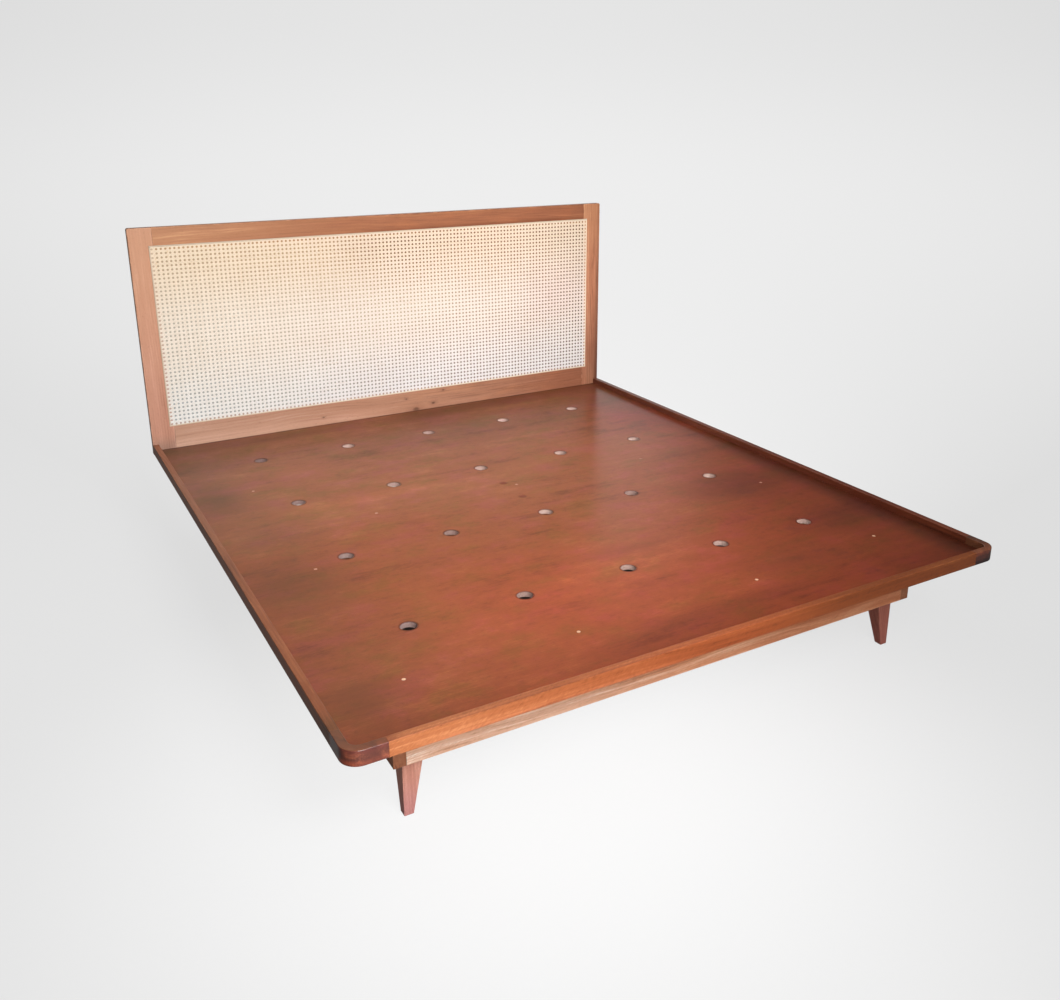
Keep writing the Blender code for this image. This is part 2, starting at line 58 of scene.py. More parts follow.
forward = Vector(
    (math.sin(YAW) * math.cos(PITCH), math.cos(YAW) * math.cos(PITCH), -math.sin(PITCH))
)
level_right = Vector((math.cos(YAW), -math.sin(YAW), 0.0))
level_up = level_right.cross(forward)
right = level_right * math.cos(ROLL) + level_up * math.sin(ROLL)
up = right.cross(forward)

camera_data = bpy.data.cameras.new("camera")
camera_data.sensor_fit = "HORIZONTAL"
camera_data.sensor_width = 36.0
camera_data.lens = FOCAL_PX * 36.0 / FRAME_W
camera_data.shift_x = (FRAME_W / 2 - CENTRE_X) / FRAME_W
camera_data.shift_y = (CENTRE_Y - FRAME_H / 2) / FRAME_W
camera_data.clip_end = 200.0
camera = bpy.data.objects.new("camera", camera_data)
scene.collection.objects.link(camera)
turned = Matrix((right, up, -forward)).transposed().to_4x4()
turned.translation = (-1.39336, -2.61406, 1.49485)
camera.matrix_world = turned
scene.camera = camera


# ---------------------------------------------------------------- shader tools
def srgb(r, g, b):
    """A colour given as 0-255 sRGB, in linear light with an alpha of 1."""

    def one(v):
        v /= 255.0
        return v / 12.92 if v <= 0.04045 else ((v + 0.055) / 1.055) ** 2.4

    return (one(r), one(g), one(b), 1.0)


class Graph:
    """A node material written as expressions. Each call adds a node and gives its output."""

    def __init__(self, name, world=None):
        self.material = None
        self._coord = self._geometry = None
        if world is not None:
            self.tree = world.node_tree
            return
        self.material = bpy.data.materials.new(name)
        self.material.use_nodes = True
        self.tree = self.material.node_tree
        self.tree.nodes.clear()
        self.shader = self.tree.nodes.new("ShaderNodeBsdfPrincipled")
        output = self.tree.nodes.new("ShaderNodeOutputMaterial")
        self.tree.links.new(self.shader.outputs[0], output.inputs["Surface"])

    def put(self, socket, value):
        if isinstance(value, bpy.types.NodeSocket):
            self.tree.links.new(value, socket)
        else:
            socket.default_value = value

    def set(self, **values):
        """Sets the shader's sockets: rough=..., coat=... and so on."""
        names = {
            "color": "Base Color",
            "rough": "Roughness",
            "metal": "Metallic",
            "coat": "Coat Weight",
            "coat_rough": "Coat Roughness",
            "coat_ior": "Coat IOR",
            "shine": "Specular IOR Level",
            "sheen": "Sheen Weight",
            "normal": "Normal",
            "coat_normal": "Coat Normal",
            "glow": "Emission Color",
            "glow_level": "Emission Strength",
        }
        for key, value in values.items():
            self.put(self.shader.inputs[names[key]], value)

    def point(self):
        if self._coord is None:
            self._coord = self.tree.nodes.new("ShaderNodeTexCoord")
        return self._coord.outputs["Object"]

    def direction(self):
        """In a world's own tree, the direction that is looked up."""
        return self.tree.nodes.new("ShaderNodeTexCoord").outputs["Generated"]

    def normal(self):
        if self._geometry is None:
            self._geometry = self.tree.nodes.new("ShaderNodeNewGeometry")
        return self._geometry.outputs["True Normal"]

    def attribute(self, name):
        node = self.tree.nodes.new("ShaderNodeAttribute")
        node.attribute_name = name
        return node.outputs["Fac"]

    def math(self, operation, a, b=0.0, c=0.0, clamp=False):
        node = self.tree.nodes.new("ShaderNodeMath")
        node.operation = operation
        node.use_clamp = clamp
        for socket, value in zip(node.inputs, (a, b, c)):
            self.put(socket, value)
        return node.outputs[0]

    def add(self, *values):
        total = values[0]
        for value in values[1:]:
            total = self.math("ADD", total, value)
        return total

    def times(self, *values):
        total = values[0]
        for value in values[1:]:
            total = self.math("MULTIPLY", total, value)
        return total

    def split(self, vector):
        node = self.tree.nodes.new("ShaderNodeSeparateXYZ")
        self.put(node.inputs[0], vector)
        return list(node.outputs)

    def join(self, x, y, z):
        node = self.tree.nodes.new("ShaderNodeCombineXYZ")
        for socket, value in zip(node.inputs, (x, y, z)):
            self.put(socket, value)
        return node.outputs[0]

    def span(self, value, low, high, to_low=0.0, to_high=1.0, smooth=True):
        """Maps low..high to to_low..to_high, held at both ends."""
        node = self.tree.nodes.new("ShaderNodeMapRange")
        node.interpolation_type = "SMOOTHSTEP" if smooth else "LINEAR"
        for name, v in (
            ("Value", value),
            ("From Min", low),
            ("From Max", high),
            ("To Min", to_low),
            ("To Max", to_high),
        ):
            self.put(node.inputs[name], v)
        return node.outputs["Result"]

    def noise(self, vector, scale=1.0, detail=2.0, rough=0.5, distort=0.0):
        node = self.tree.nodes.new("ShaderNodeTexNoise")
        self.put(node.inputs["Vector"], vector)
        self.put(node.inputs["Scale"], scale)
        self.put(node.inputs["Detail"], detail)
        self.put(node.inputs["Roughness"], rough)
        self.put(node.inputs["Distortion"], distort)
        return node.outputs["Fac"]

    def mix(self, factor, a, b, blend="MIX"):
        node = self.tree.nodes.new("ShaderNodeMix")
        node.data_type = "RGBA"
        node.blend_type = blend
        self.put(node.inputs[0], factor)
        self.put(node.inputs[6], a)
        self.put(node.inputs[7], b)
        return node.outputs[2]

    def ramp(self, value, *stops):
        """A colour ramp of (position, colour) stops."""
        node = self.tree.nodes.new("ShaderNodeValToRGB")
        node.color_ramp.interpolation = "EASE"
        elements = node.color_ramp.elements
        while len(elements) < len(stops):
            elements.new(0.5)
        for element, (position, colour) in zip(elements, stops):
            element.position = position
            element.color = colour
        self.put(node.inputs[0], value)
        return node.outputs[0]

    def bump(self, height, strength, distance):
        node = self.tree.nodes.new("ShaderNodeBump")
        self.put(node.inputs["Strength"], strength)
        self.put(node.inputs["Distance"], distance)
        self.put(node.inputs["Height"], height)
        return node.outputs["Normal"]

    def spot(self, x, y, at, size, soft=1.0):
        """1 at a place on a plane, 0 outside an ellipse of the given half sizes around it."""
        dx = self.times(self.math("SUBTRACT", x, at[0]), 1.0 / size[0])
        dy = self.times(self.math("SUBTRACT", y, at[1]), 1.0 / size[1])
        distance = self.math("SQRT", self.add(self.times(dx, dx), self.times(dy, dy)))
        return self.span(distance, 1.0 - soft, 1.0, 1.0, 0.0)


def edge_distance(g, axes, low, high):
    """Metres from a point on a board's surface to its nearest edge."""
    gaps = []
    for value, a, b in zip(axes, low, high):
        gaps.append(
            g.math("MINIMUM", g.math("SUBTRACT", value, a), g.math("SUBTRACT", b, value))
        )
    a, b, c = gaps
    return g.math(
        "MAXIMUM", g.math("MINIMUM", a, b), g.math("MINIMUM", g.math("MAXIMUM", a, b), c)
    )


def wood(
    name,
    node,
    axis,
    dark,
    mid,
    light,
    seed=0.0,
    pith=(0.12, 0.08),
    ring=0.0075,
    slope=0.012,
    contrast=1.0,
    rough=0.44,
    shine=0.35,
    coat=0.10,
    coat_rough=0.28,
    end_shade=0.62,
    wear=0.35,
    knots=(),
    fleck=0.0,
    tone=None,
):
    """Solid timber: growth rings about a far-off pith, fibres and pores along an axis, knots, worn edges."""
    g = Graph(name)
    axes = g.split(g.point())
    low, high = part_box(node)
    centre = (low + high) / 2
    along = g.math("SUBTRACT", axes[axis], centre[axis])
    others = [i for i in range(3) if i != axis]
    u = g.math("SUBTRACT", axes[others[0]], centre[others[0]])
    v = g.math("SUBTRACT", axes[others[1]], centre[others[1]])
    # Slow wander of the grain along the board.
    drift = g.noise(g.join(g.times(along, 1.7), seed, g.times(v, 3.0)), 1.0, 2.0, 0.5)
    drift = g.times(g.math("SUBTRACT", drift, 0.5), slope * 5.0)
    v = g.add(v, drift, g.times(along, slope * 0.6))
    knot_core = None
    for k_along, k_across, k_size in knots:
        close = g.spot(along, g.math("SUBTRACT", axes[others[1]], centre[others[1]]),
                       (k_along, k_across), (k_size * 3.2, k_size * 1.8))
        v = g.add(v, g.times(close, k_size * 0.9))
        core = g.spot(along, g.math("SUBTRACT", axes[others[1]], centre[others[1]]),
                      (k_along, k_across), (k_size * 1.25, k_size * 0.8), 0.8)
        core = g.math("MAXIMUM", core, g.times(close, 0.35))
        knot_core = core if knot_core is None else g.math("MAXIMUM", knot_core, core)
    # Growth rings.
    du, dv = g.add(u, pith[0]), g.add(v, pith[1])
    radius = g.math("SQRT", g.add(g.times(du, du), g.times(dv, dv)))
    uneven = g.noise(g.join(g.times(along, 0.8), g.times(u, 14.0), g.add(g.times(v, 14.0), seed)), 1.0, 3.0, 0.55)
    phase = g.add(g.times(radius, math.tau / ring), g.times(uneven, 7.0), seed)
    rings = g.math("SINE", phase)
    rings = g.times(rings, g.span(uneven, 0.3, 0.75, 0.25, 1.0))
    # Streaks, fibres and pores, ever finer.
    streak = g.noise(g.join(g.times(along, 1.5), g.add(g.times(u, 48.0), seed), g.times(v, 48.0)), 1.0, 3.0, 0.55)
    fibre = g.noise(g.join(g.times(along, 7.0), g.add(g.times(u, 260.0), seed), g.times(v, 260.0)), 1.0, 3.0, 0.6)
    fine = g.noise(g.join(g.times(along, 26.0), g.add(g.times(u, 900.0), seed), g.times(v, 900.0)), 1.0, 2.0, 0.6)
    pore = g.noise(g.join(g.times(along, 95.0), g.times(u, 1500.0), g.add(g.times(v, 1500.0), seed)), 1.0, 1.0, 0.5)
    pore = g.span(pore, 0.64, 0.74)
    blotch = g.noise(g.join(g.times(along, 2.6), g.times(u, 6.0), g.add(g.times(v, 9.0), seed * 1.7)), 1.0, 3.0, 0.6)
    value = g.add(
        0.5,
        g.times(rings, 0.10 * contrast),
        g.times(g.math("SUBTRACT", streak, 0.5), 0.85 * contrast),
        g.times(g.math("SUBTRACT", fibre, 0.5), 0.55 * contrast),
        g.times(g.math("SUBTRACT", fine, 0.5), 0.30 * contrast),
        g.times(g.math("SUBTRACT", blotch, 0.5), 0.55 * contrast),
    )
    if fleck:
        # Short slanting flecks where the rays are cut.
        side = g.add(u, v)
        lean = math.radians(38.0)
        p = g.add(g.times(along, math.cos(lean)), g.times(side, math.sin(lean)))
        q = g.add(g.times(along, -math.sin(lean)), g.times(side, math.cos(lean)))
        dash = g.noise(g.join(g.times(p, 85.0), g.times(q, 430.0), seed), 1.0, 3.0, 0.65)
        value = g.add(value, g.times(g.math("SUBTRACT", dash, 0.5), fleck))
    colour = g.ramp(value, (0.12, srgb(*dark)), (0.5, srgb(*mid)), (0.86, srgb(*light)))
    colour = g.mix(g.times(pore, 0.45), colour, srgb(*[c * 0.52 for c in dark]))
    if knot_core is not None:
        colour = g.mix(g.times(knot_core, g.span(fibre, 0.3, 0.7, 0.65, 0.95)), colour, srgb(dark[0] * 0.58, dark[1] * 0.46, dark[2] * 0.38))
    if tone is not None:
        colour = tone(g, axes, colour)
    # Ends show the cut vessels, which drink the finish and go dark.
    lengthwise = g.math("ABSOLUTE", g.split(g.normal())[axis])
    end = g.span(lengthwise, 0.7, 0.95)
    colour = g.mix(g.times(end, end_shade), colour, srgb(*[c * 0.55 for c in dark]))
    # Handled edges: thin finish in places, a little dirt in others.
    close = g.span(edge_distance(g, axes, low, high), 0.0004, 0.0042, 1.0, 0.0)
    rub = g.noise(g.join(g.times(axes[0], 31.0), g.times(axes[1], 31.0), g.add(g.times(axes[2], 31.0), seed)), 1.0, 3.0, 0.6)
    colour = g.mix(g.times(close, g.span(rub, 0.42, 0.70), wear), colour, srgb(*[min(255, c * 1.12 + 12) for c in light]))
    colour = g.mix(g.times(close, g.span(rub, 0.50, 0.30), wear * 0.8), colour, srgb(*[c * 0.5 for c in dark]))
    g.set(
        color=colour,
        rough=g.add(rough - 0.06, g.times(fibre, 0.16), g.times(pore, 0.12), g.times(end, 0.14)),
        shine=shine,
        coat=coat,
        coat_rough=coat_rough,
        normal=g.bump(g.add(g.times(fine, 0.45), g.times(fibre, 0.5), g.times(pore, -0.8)), 0.30, 0.0006),
    )
    return g.material


def shaded(axis, *stops):
    """A board whose tone drifts along an axis: (place in metres, multiplier) stops."""

    def tone(g, axes, colour):
        low, high = stops[0][0], stops[-1][0]
        place = g.math("DIVIDE", g.math("SUBTRACT", axes[axis], low), high - low, clamp=True)
        drift = g.ramp(place, *[((at - low) / (high - low), (*c, 1.0)) for at, c in stops])
        return g.mix(1.0, colour, drift, "MULTIPLY")

    return tone


def banded(base, axis, start, end, tint, by, at_none, at_full):
    """A base tone, tinted further from start to end on one axis, as far as another axis lets it."""

    def tone(g, axes, colour):
        colour = base(g, axes, colour)
        factor = g.times(g.span(axes[axis], start, end), g.span(axes[by], at_none, at_full))
        return g.mix(factor, colour, g.mix(1.0, colour, (*tint, 1.0), "MULTIPLY"))

    return tone


def faced(base, plain):
    """A base tone on all sides but the back, which has one plain tint."""

    def tone(g, axes, colour):
        back = g.span(g.split(g.normal())[1], 0.4, 0.8)
        return g.mix(back, base(g, axes, colour), g.mix(1.0, colour, (*plain, 1.0), "MULTIPLY"))

    return tone


def streaked(base, axis, seed, start, end, depth):
    """A base tone, with long dark streaks that come in from start to end along an axis."""

    def tone(g, axes, colour):
        colour = base(g, axes, colour)
        across = axes[2] if axis == 0 else axes[0]
        line = g.noise(g.join(g.times(axes[axis], 5.0), g.add(g.times(across, 150.0), seed), g.times(axes[1], 40.0)), 1.0, 4.0, 0.62)
        patch = g.noise(g.join(g.times(axes[axis], 7.0), g.times(across, 22.0), seed + 3.0), 1.0, 2.0, 0.5)
        far = g.span(axes[axis], start, end)
        colour = g.mix(g.times(g.span(line, 0.50, 0.66), far, depth), colour, g.mix(1.0, colour, (0.50, 0.42, 0.36, 1.0), "MULTIPLY"))
        return g.mix(g.times(g.span(patch, 0.50, 0.70), far, depth), colour, g.mix(1.0, colour, (1.26, 1.22, 1.10, 1.0), "MULTIPLY"))

    return tone


def dress(node, material):
    slots = nodes[node].data.materials
    slots.clear()
    slots.append(material)


# ------------------------------------------------------------------- headboard
SPLINE_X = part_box("cane_spline_right")[0].x
SPLINE_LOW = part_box("cane_spline_bottom")[1].z
SPLINE_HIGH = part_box("cane_spline_top")[0].z


def under_cane(base, tint):
    """A base tone, changed on the strip of the frame that the cane covers."""

    def tone(g, axes, colour):
        colour = base(g, axes, colour)
        x, y, z = axes
        inside = g.times(
            g.span(g.math("ABSOLUTE", x), SPLINE_X + 0.0004, SPLINE_X - 0.0004),
            g.span(z, SPLINE_LOW - 0.0004, SPLINE_LOW + 0.0004),
            g.span(z, SPLINE_HIGH + 0.0004, SPLINE_HIGH - 0.0004),
        )
        return g.mix(inside, colour, g.mix(1.0, colour, (*tint, 1.0), "MULTIPLY"))

    return tone


# Top rail: paler on the left, a painted sheen, and darker to the right, painted shade where the light falls off; also
# darker along its lower edge from the middle rightwards.
dress(
    "headboard_top_rail",
    wood(
        "top_rail_wood", "headboard_top_rail", 0, (124, 72, 44), (158, 102, 70), (184, 130, 94), seed=3.1, contrast=0.85,
        tone=faced(under_cane(
            streaked(
                banded(shaded(0, (-0.85, (1.1, 1.2, 1.1)), (-0.1, (0.75, 0.65, 0.5)), (0.85, (0.65, 0.55, 0.5))),
                       2, 1.058, 1.040, (0.82, 0.74, 0.64), 0, -0.30, 0.0),
                0, 2.0, -0.6, 0.2, 0.36), (1.0, 1.35, 1.5)), (0.85, 0.80, 0.74)),
    ),
)
# Bottom rail: paler on the left, a painted sheen, and darker to the right, painted shade; along its lower edge on the
# left, painted light lifts the shade cast by the deck.
dress(
    "headboard_bottom_rail",
    wood(
        "bottom_rail_wood", "headboard_bottom_rail", 0, (132, 84, 60), (170, 121, 92), (196, 152, 126), seed=7.7, contrast=0.7,
        knots=((0.07, -0.036, 0.019), (0.145, -0.020, 0.010), (-0.31, -0.012, 0.006), (0.03, 0.012, 0.005), (0.19, 0.028, 0.006)),
        tone=faced(under_cane(
            streaked(
                banded(shaded(0, (-0.85, (1.05, 1.2, 1.4)), (0.1, (0.8, 0.8, 0.85)), (0.85, (0.55, 0.4, 0.35))),
                       2, 0.370, 0.335, (1.20, 1.28, 1.36), 0, 0.10, -0.20),
                0, 9.0, -0.3, 0.3, 0.50), (0.95, 1.30, 1.65)), (0.74, 0.64, 0.58)),
    ),
)
# Left stile: paler, pinker timber colours than the right stile, a painted sheen; darker and bluer at its very foot.
dress(
    "headboard_stile_left",
    wood(
        "stile_left_wood", "headboard_stile_left", 2, (144, 95, 70), (180, 129, 102), (204, 156, 131), seed=14.0, contrast=0.65,
        tone=faced(under_cane(shaded(2, (0.32, (0.75, 0.85, 1.0)), (0.38, (1.0, 1.0, 1.1)), (1.08, (1.0, 1.0, 0.9))), (0.98, 1.45, 1.80)), (0.68, 0.60, 0.54)),
    ),
)
# Right stile: painted shade, darker overall and most at the bottom, with a painted shadow on its outer edge lower down;
# paler along its inner edge near the bottom.
dress(
    "headboard_stile_right",
    wood(
        "stile_right_wood", "headboard_stile_right", 2, (146, 90, 62), (186, 124, 90), (208, 152, 116), seed=15.9, contrast=1.6,
        tone=faced(banded(
            banded(shaded(2, (0.38, (0.45, 0.4, 0.4)), (0.75, (0.7, 0.65, 0.65)), (1.09, (0.7, 0.7, 0.65))),
                   0, 0.906, 0.924, (0.5, 0.45, 0.45), 2, 1.30, 0.50),
            0, 0.884, 0.866, (1.3, 1.35, 1.4), 2, 0.50, 0.42), (0.66, 0.62, 0.58)),
    ),
)
for i, node in enumerate(("headboard_strut_left", "headboard_strut_right")):
    dress(node, wood(node + "_wood", node, 2, (112, 66, 44), (150, 94, 66), (178, 122, 90), seed=21.0 + 5.3 * i, rough=0.55, coat=0.0))


def thin_ply(name, axis, dark, mid, light, seed, tone=None):
    """Face veneer of plain plywood, with broad flowing figure."""
    g = Graph(name)
    x, y, z = g.split(g.point())
    along, across = (x, z) if axis == 0 else (z, x)
    warp = g.noise(g.join(g.times(along, 1.1), g.times(across, 4.0), seed), 1.0, 3.0, 0.5)
    flow = g.math("SINE", g.add(g.times(across, 95.0), g.times(warp, 26.0)))
    fibre = g.noise(g.join(g.times(along, 8.0), g.times(across, 280.0), seed), 1.0, 3.0, 0.6)
    blotch = g.noise(g.join(g.times(along, 2.0), g.times(across, 3.0), seed + 4.0), 1.0, 3.0, 0.6)
    value = g.add(
        0.5,
        g.times(flow, 0.10),
        g.times(g.math("SUBTRACT", fibre, 0.5), 0.6),
        g.times(g.math("SUBTRACT", blotch, 0.5), 0.5),
    )
    colour = g.ramp(value, (0.15, srgb(*dark)), (0.5, srgb(*mid)), (0.85, srgb(*light)))
    if tone is not None:
        colour = tone(g, (x, y, z), colour)
    g.set(
        color=colour,
        rough=g.add(0.55, g.times(fibre, 0.2)),
        shine=0.25,
        normal=g.bump(fibre, 0.25, 0.0005),
    )
    return g.material


def painted_panel_shade(g, axes, colour):
    """The face under the cane, with painted light and shade: pale on the left and at half height, darker and browner to
    the right, above and below.
    """
    x, y, z = axes
    front = g.span(g.split(g.normal())[1], -0.5, -0.9)
    drift = g.noise(g.join(g.times(x, 2.5), g.times(z, 4.0), 6.0), 1.0, 3.0, 0.5)
    place = g.add(x, g.times(g.math("SUBTRACT", drift, 0.5), 0.25), g.times(g.math("ABSOLUTE", g.math("SUBTRACT", z, 0.74)), 1.6))
    panel_shade = g.ramp(g.span(place, -0.80, 1.20, smooth=False), (0.0, srgb(182, 167, 150)), (0.40, srgb(174, 152, 130)), (0.60, srgb(152, 124, 106)), (0.80, srgb(126, 90, 74)), (1.0, srgb(100, 64, 50)))
    panel_shade = g.mix(1.0, panel_shade, g.ramp(g.span(z, 0.42, 1.02, smooth=False), (0.0, (0.66, 0.90, 1.14, 1.0)), (0.5, (0.82, 0.92, 0.94, 1.0)), (1.0, (0.80, 0.72, 0.58, 1.0))), "MULTIPLY")
    for at, size, tint in (((0.02, 1.00), (0.36, 0.22), (0.56, 0.46, 0.36)), ((0.84, 0.68), (0.36, 0.34), (0.54, 0.48, 0.48))):
        panel_shade = g.mix(g.spot(x, z, at, size), panel_shade, g.mix(1.0, panel_shade, (*tint, 1.0), "MULTIPLY"))
    grain = g.mix(0.7, (1.0, 1.0, 1.0, 1.0), g.mix(1.0, colour, (1.66, 2.25, 3.48, 1.0), "MULTIPLY"))
    return g.mix(front, colour, g.mix(1.0, panel_shade, grain, "MULTIPLY"))


dress("headboard_back_panel", thin_ply("back_panel_ply", 0, (176, 146, 114), (204, 178, 146), (222, 200, 172), 2.2, tone=painted_panel_shade))

# ------------------------------------------------------------------------ base
# Front apron: paler and pinker on the left, a painted sheen, and darker to the right, painted shade where the light
# falls off.
dress(
    "front_apron",
    wood("front_apron_wood", "front_apron", 0, (172, 112, 78), (210, 154, 120), (236, 200, 172), seed=31.7,
         ring=0.011, contrast=1.45, rough=0.52, coat=0.0,
         fleck=0.50, wear=0.15,
         tone=shaded(0, (-0.45, (1.25, 1.45, 1.7)), (0.05, (1.2, 1.0, 0.9)), (0.45, (0.9, 0.6, 0.45)))),
)
for i, (node, axis) in enumerate(
    (("rear_apron", 0), ("side_beam_left", 1), ("side_beam_right", 1), ("cross_beam", 0))
):
    dress(node, wood(node + "_wood", node, axis, (128, 74, 48), (164, 102, 70), (190, 130, 96), seed=40.0 + 6.1 * i, rough=0.52, coat=0.0, end_shade=0.10))
# The right-hand legs are toned darker, painted shade on the side away from the light; the others are lifted towards the
# top, painted light against the shade under the rail.
for i, node in enumerate(("leg_front_left", "leg_front_right", "leg_rear_left", "leg_rear_right", "centre_leg")):
    if node.endswith("right"):
        tone = shaded(2, (0.0, (0.65, 0.5, 0.5)), (0.12, (0.65, 0.5, 0.45)))
    else:
        tone = shaded(2, (0.0, (0.92, 0.98, 1.2)), (0.12, (1.05, 1.15, 1.1)))
    dress(node, wood(node + "_wood", node, 2, (154, 94, 80), (192, 124, 108), (216, 154, 138), seed=60.0 + 4.7 * i, rough=0.5, coat=0.05, fleck=0.3, tone=tone))
inner = [n for n in nodes if n.startswith(("cleat_", "tenon_"))] + ["seam_board"]
for i, node in enumerate(inner):
    low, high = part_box(node)
    axis = max(range(3), key=lambda k: high[k] - low[k])
    dress(node, wood(node + "_wood", node, axis, (146, 104, 70), (182, 140, 102), (206, 168, 130), seed=80.0 + 3.3 * i, rough=0.62, shine=0.2, coat=0.0))

# ------------------------------------------------------------------------- rim
def painted_top_light(base):
    """A base tone with painted light and shade: the top face painted paler towards the right and darker at the left
    end, and a painted highlight along the lower edge on the left.
    """

    def tone(g, axes, colour):
        colour = base(g, axes, colour)
        x, y, z = axes
        up_face = g.span(g.split(g.normal())[2], 0.6, 0.95)
        for factor, tint in (
            (g.times(up_face, g.span(x, -0.55, 0.30)), (1.3, 1.35, 1.4)),
            (g.times(up_face, g.span(x, -0.80, -0.845)), (0.65, 0.55, 0.55)),
            (g.times(g.span(z, 0.3150, 0.3105), g.span(x, 0.0, -0.3), g.span(x, -0.80, -0.68)), (1.28, 1.42, 1.72)),
        ):
            colour = g.mix(factor, colour, g.mix(1.0, colour, (*tint, 1.0), "MULTIPLY"))
        return colour

    return tone


# Foot rail: bright on the left and darker to the right, painted light falling off across it.
dress(
    "foot_rail",
    wood("foot_rail_wood", "foot_rail", 0, (128, 64, 30), (172, 96, 54), (198, 124, 78), seed=101.3,
         ring=0.009, contrast=0.90, rough=0.42, fleck=0.80, wear=0.08,
         tone=painted_top_light(shaded(0, (-0.86, (1.1, 1.2, 1.3)), (0.0, (0.85, 0.67, 0.55)), (0.4, (0.52, 0.42, 0.28))))),
)
for i, node in enumerate(("side_rail_left", "side_rail_right")):
    if node.endswith("right"):
        tone = shaded(1, (-1.0, (0.9, 0.75, 0.75)), (-0.65, (0.55, 0.4, 0.4)), (1.0, (0.55, 0.5, 0.6)))
    else:
        tone = shaded(1, (-0.95, (0.55, 0.6, 0.45)), (-0.88, (0.85, 0.8, 0.65)), (0.6, (0.85, 0.95, 1.0)))
    dress(node, wood(node + "_wood", node, 1, (104, 56, 36), (146, 82, 52), (176, 108, 74), seed=110.0 + 9.1 * i, rough=0.42, wear=0.12, fleck=0.3, tone=tone))


def corner_wood(name, node, sign, seed, top_stops, flank_stops, low_stops, glint_stops):
    """Dark figured timber with its grain across the corner; its top and inside carry the tone of the rails."""
    g = Graph(name)
    x, y, z = g.split(g.point())
    low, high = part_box(node)
    cx, cy = (low.x + high.x) / 2, (low.y + high.y) / 2
    dx, dy = g.math("SUBTRACT", x, cx), g.math("SUBTRACT", y, cy)
    half = math.sqrt(0.5)
    along = g.times(g.add(dx, g.times(dy, float(sign))), half)
    across = g.times(g.math("SUBTRACT", dy, g.times(dx, float(sign))), half)
    warp = g.noise(g.join(g.times(along, 18.0), g.times(across, 30.0), g.add(g.times(z, 30.0), seed)), 1.0, 3.0, 0.6)
    band = g.math("SINE", g.add(g.times(across, 230.0), g.times(z, 150.0), g.times(warp, 14.0), seed))
    fibre = g.noise(g.join(g.times(along, 40.0), g.times(across, 460.0), g.add(g.times(z, 460.0), seed)), 1.0, 3.0, 0.6)
    value = g.add(0.48, g.times(band, 0.07), g.times(g.math("SUBTRACT", fibre, 0.5), 0.55), g.times(g.math("SUBTRACT", warp, 0.5), 0.95))
    # From the end on the foot rail (0) to the end on the side rail (1).
    place = g.span(g.times(along, float(sign)), -0.062, 0.062, smooth=False)

    def toned(colour, stops):
        return g.mix(1.0, colour, g.ramp(place, *[(at, (*c, 1.0)) for at, c in stops]), "MULTIPLY")

    flank = toned(g.ramp(value, (0.1, srgb(56, 31, 26)), (0.5, srgb(92, 52, 42)), (0.9, srgb(142, 86, 62))), flank_stops)
    flank = g.mix(g.span(z, 0.320, 0.311), flank, toned(flank, low_stops))
    # Painted glint: the flank's upper edge lighter, most at the foot-rail end.
    flank = g.mix(g.span(z, 0.326, 0.335), flank, toned(flank, glint_stops))
    top_tone = toned(g.ramp(value, (0.1, srgb(92, 52, 34)), (0.5, srgb(128, 76, 50)), (0.9, srgb(158, 98, 66))), top_stops)
    inner = g.ramp(value, (0.1, srgb(96, 56, 38)), (0.5, srgb(130, 80, 54)), (0.9, srgb(156, 100, 70)))
    nx, ny, nz = g.split(g.normal())
    up_face = g.span(nz, 0.55, 0.95)
    inward = g.span(g.add(g.times(nx, -float(sign)), ny), 0.2, 0.6)
    colour = g.mix(up_face, g.mix(inward, flank, inner), top_tone)
    g.set(
        color=colour,
        rough=g.add(0.30, g.times(fibre, 0.14), g.times(up_face, 0.14)),
        shine=0.4,
        coat=0.45,
        coat_rough=0.14,
        normal=g.bump(fibre, 0.2, 0.0004),
    )
    return g.material


dress("corner_block_left", corner_wood(
    "corner_left_wood", "corner_block_left", -1, 3.0,
    ((0.0, (1.0, 0.8, 0.6)), (1.0, (0.75, 0.7, 0.5))),
    ((0.0, (1.2, 1.0, 1.0)), (1.0, (0.9, 0.65, 0.55))),
    ((0.0, (1.4, 1.3, 1.2)), (0.6, (2.2, 1.9, 1.5)), (1.0, (1.1, 1.0, 1.0))),
    ((0.0, (1.3, 1.2, 1.3)), (1.0, (1.0, 0.9, 0.9)))))
dress("corner_block_right", corner_wood(
    "corner_right_wood", "corner_block_right", 1, 8.0,
    ((0.0, (1.4, 1.2, 1.1)), (1.0, (0.5, 0.5, 0.55))),
    ((0.0, (0.8, 0.6, 0.6)), (1.0, (0.5, 0.5, 0.55))),
    ((0.0, (0.4, 0.4, 0.55)), (1.0, (0.35, 0.35, 0.5))),
    ((0.0, (1.9, 1.7, 1.2)), (1.0, (0.7, 1.0, 1.1)))))


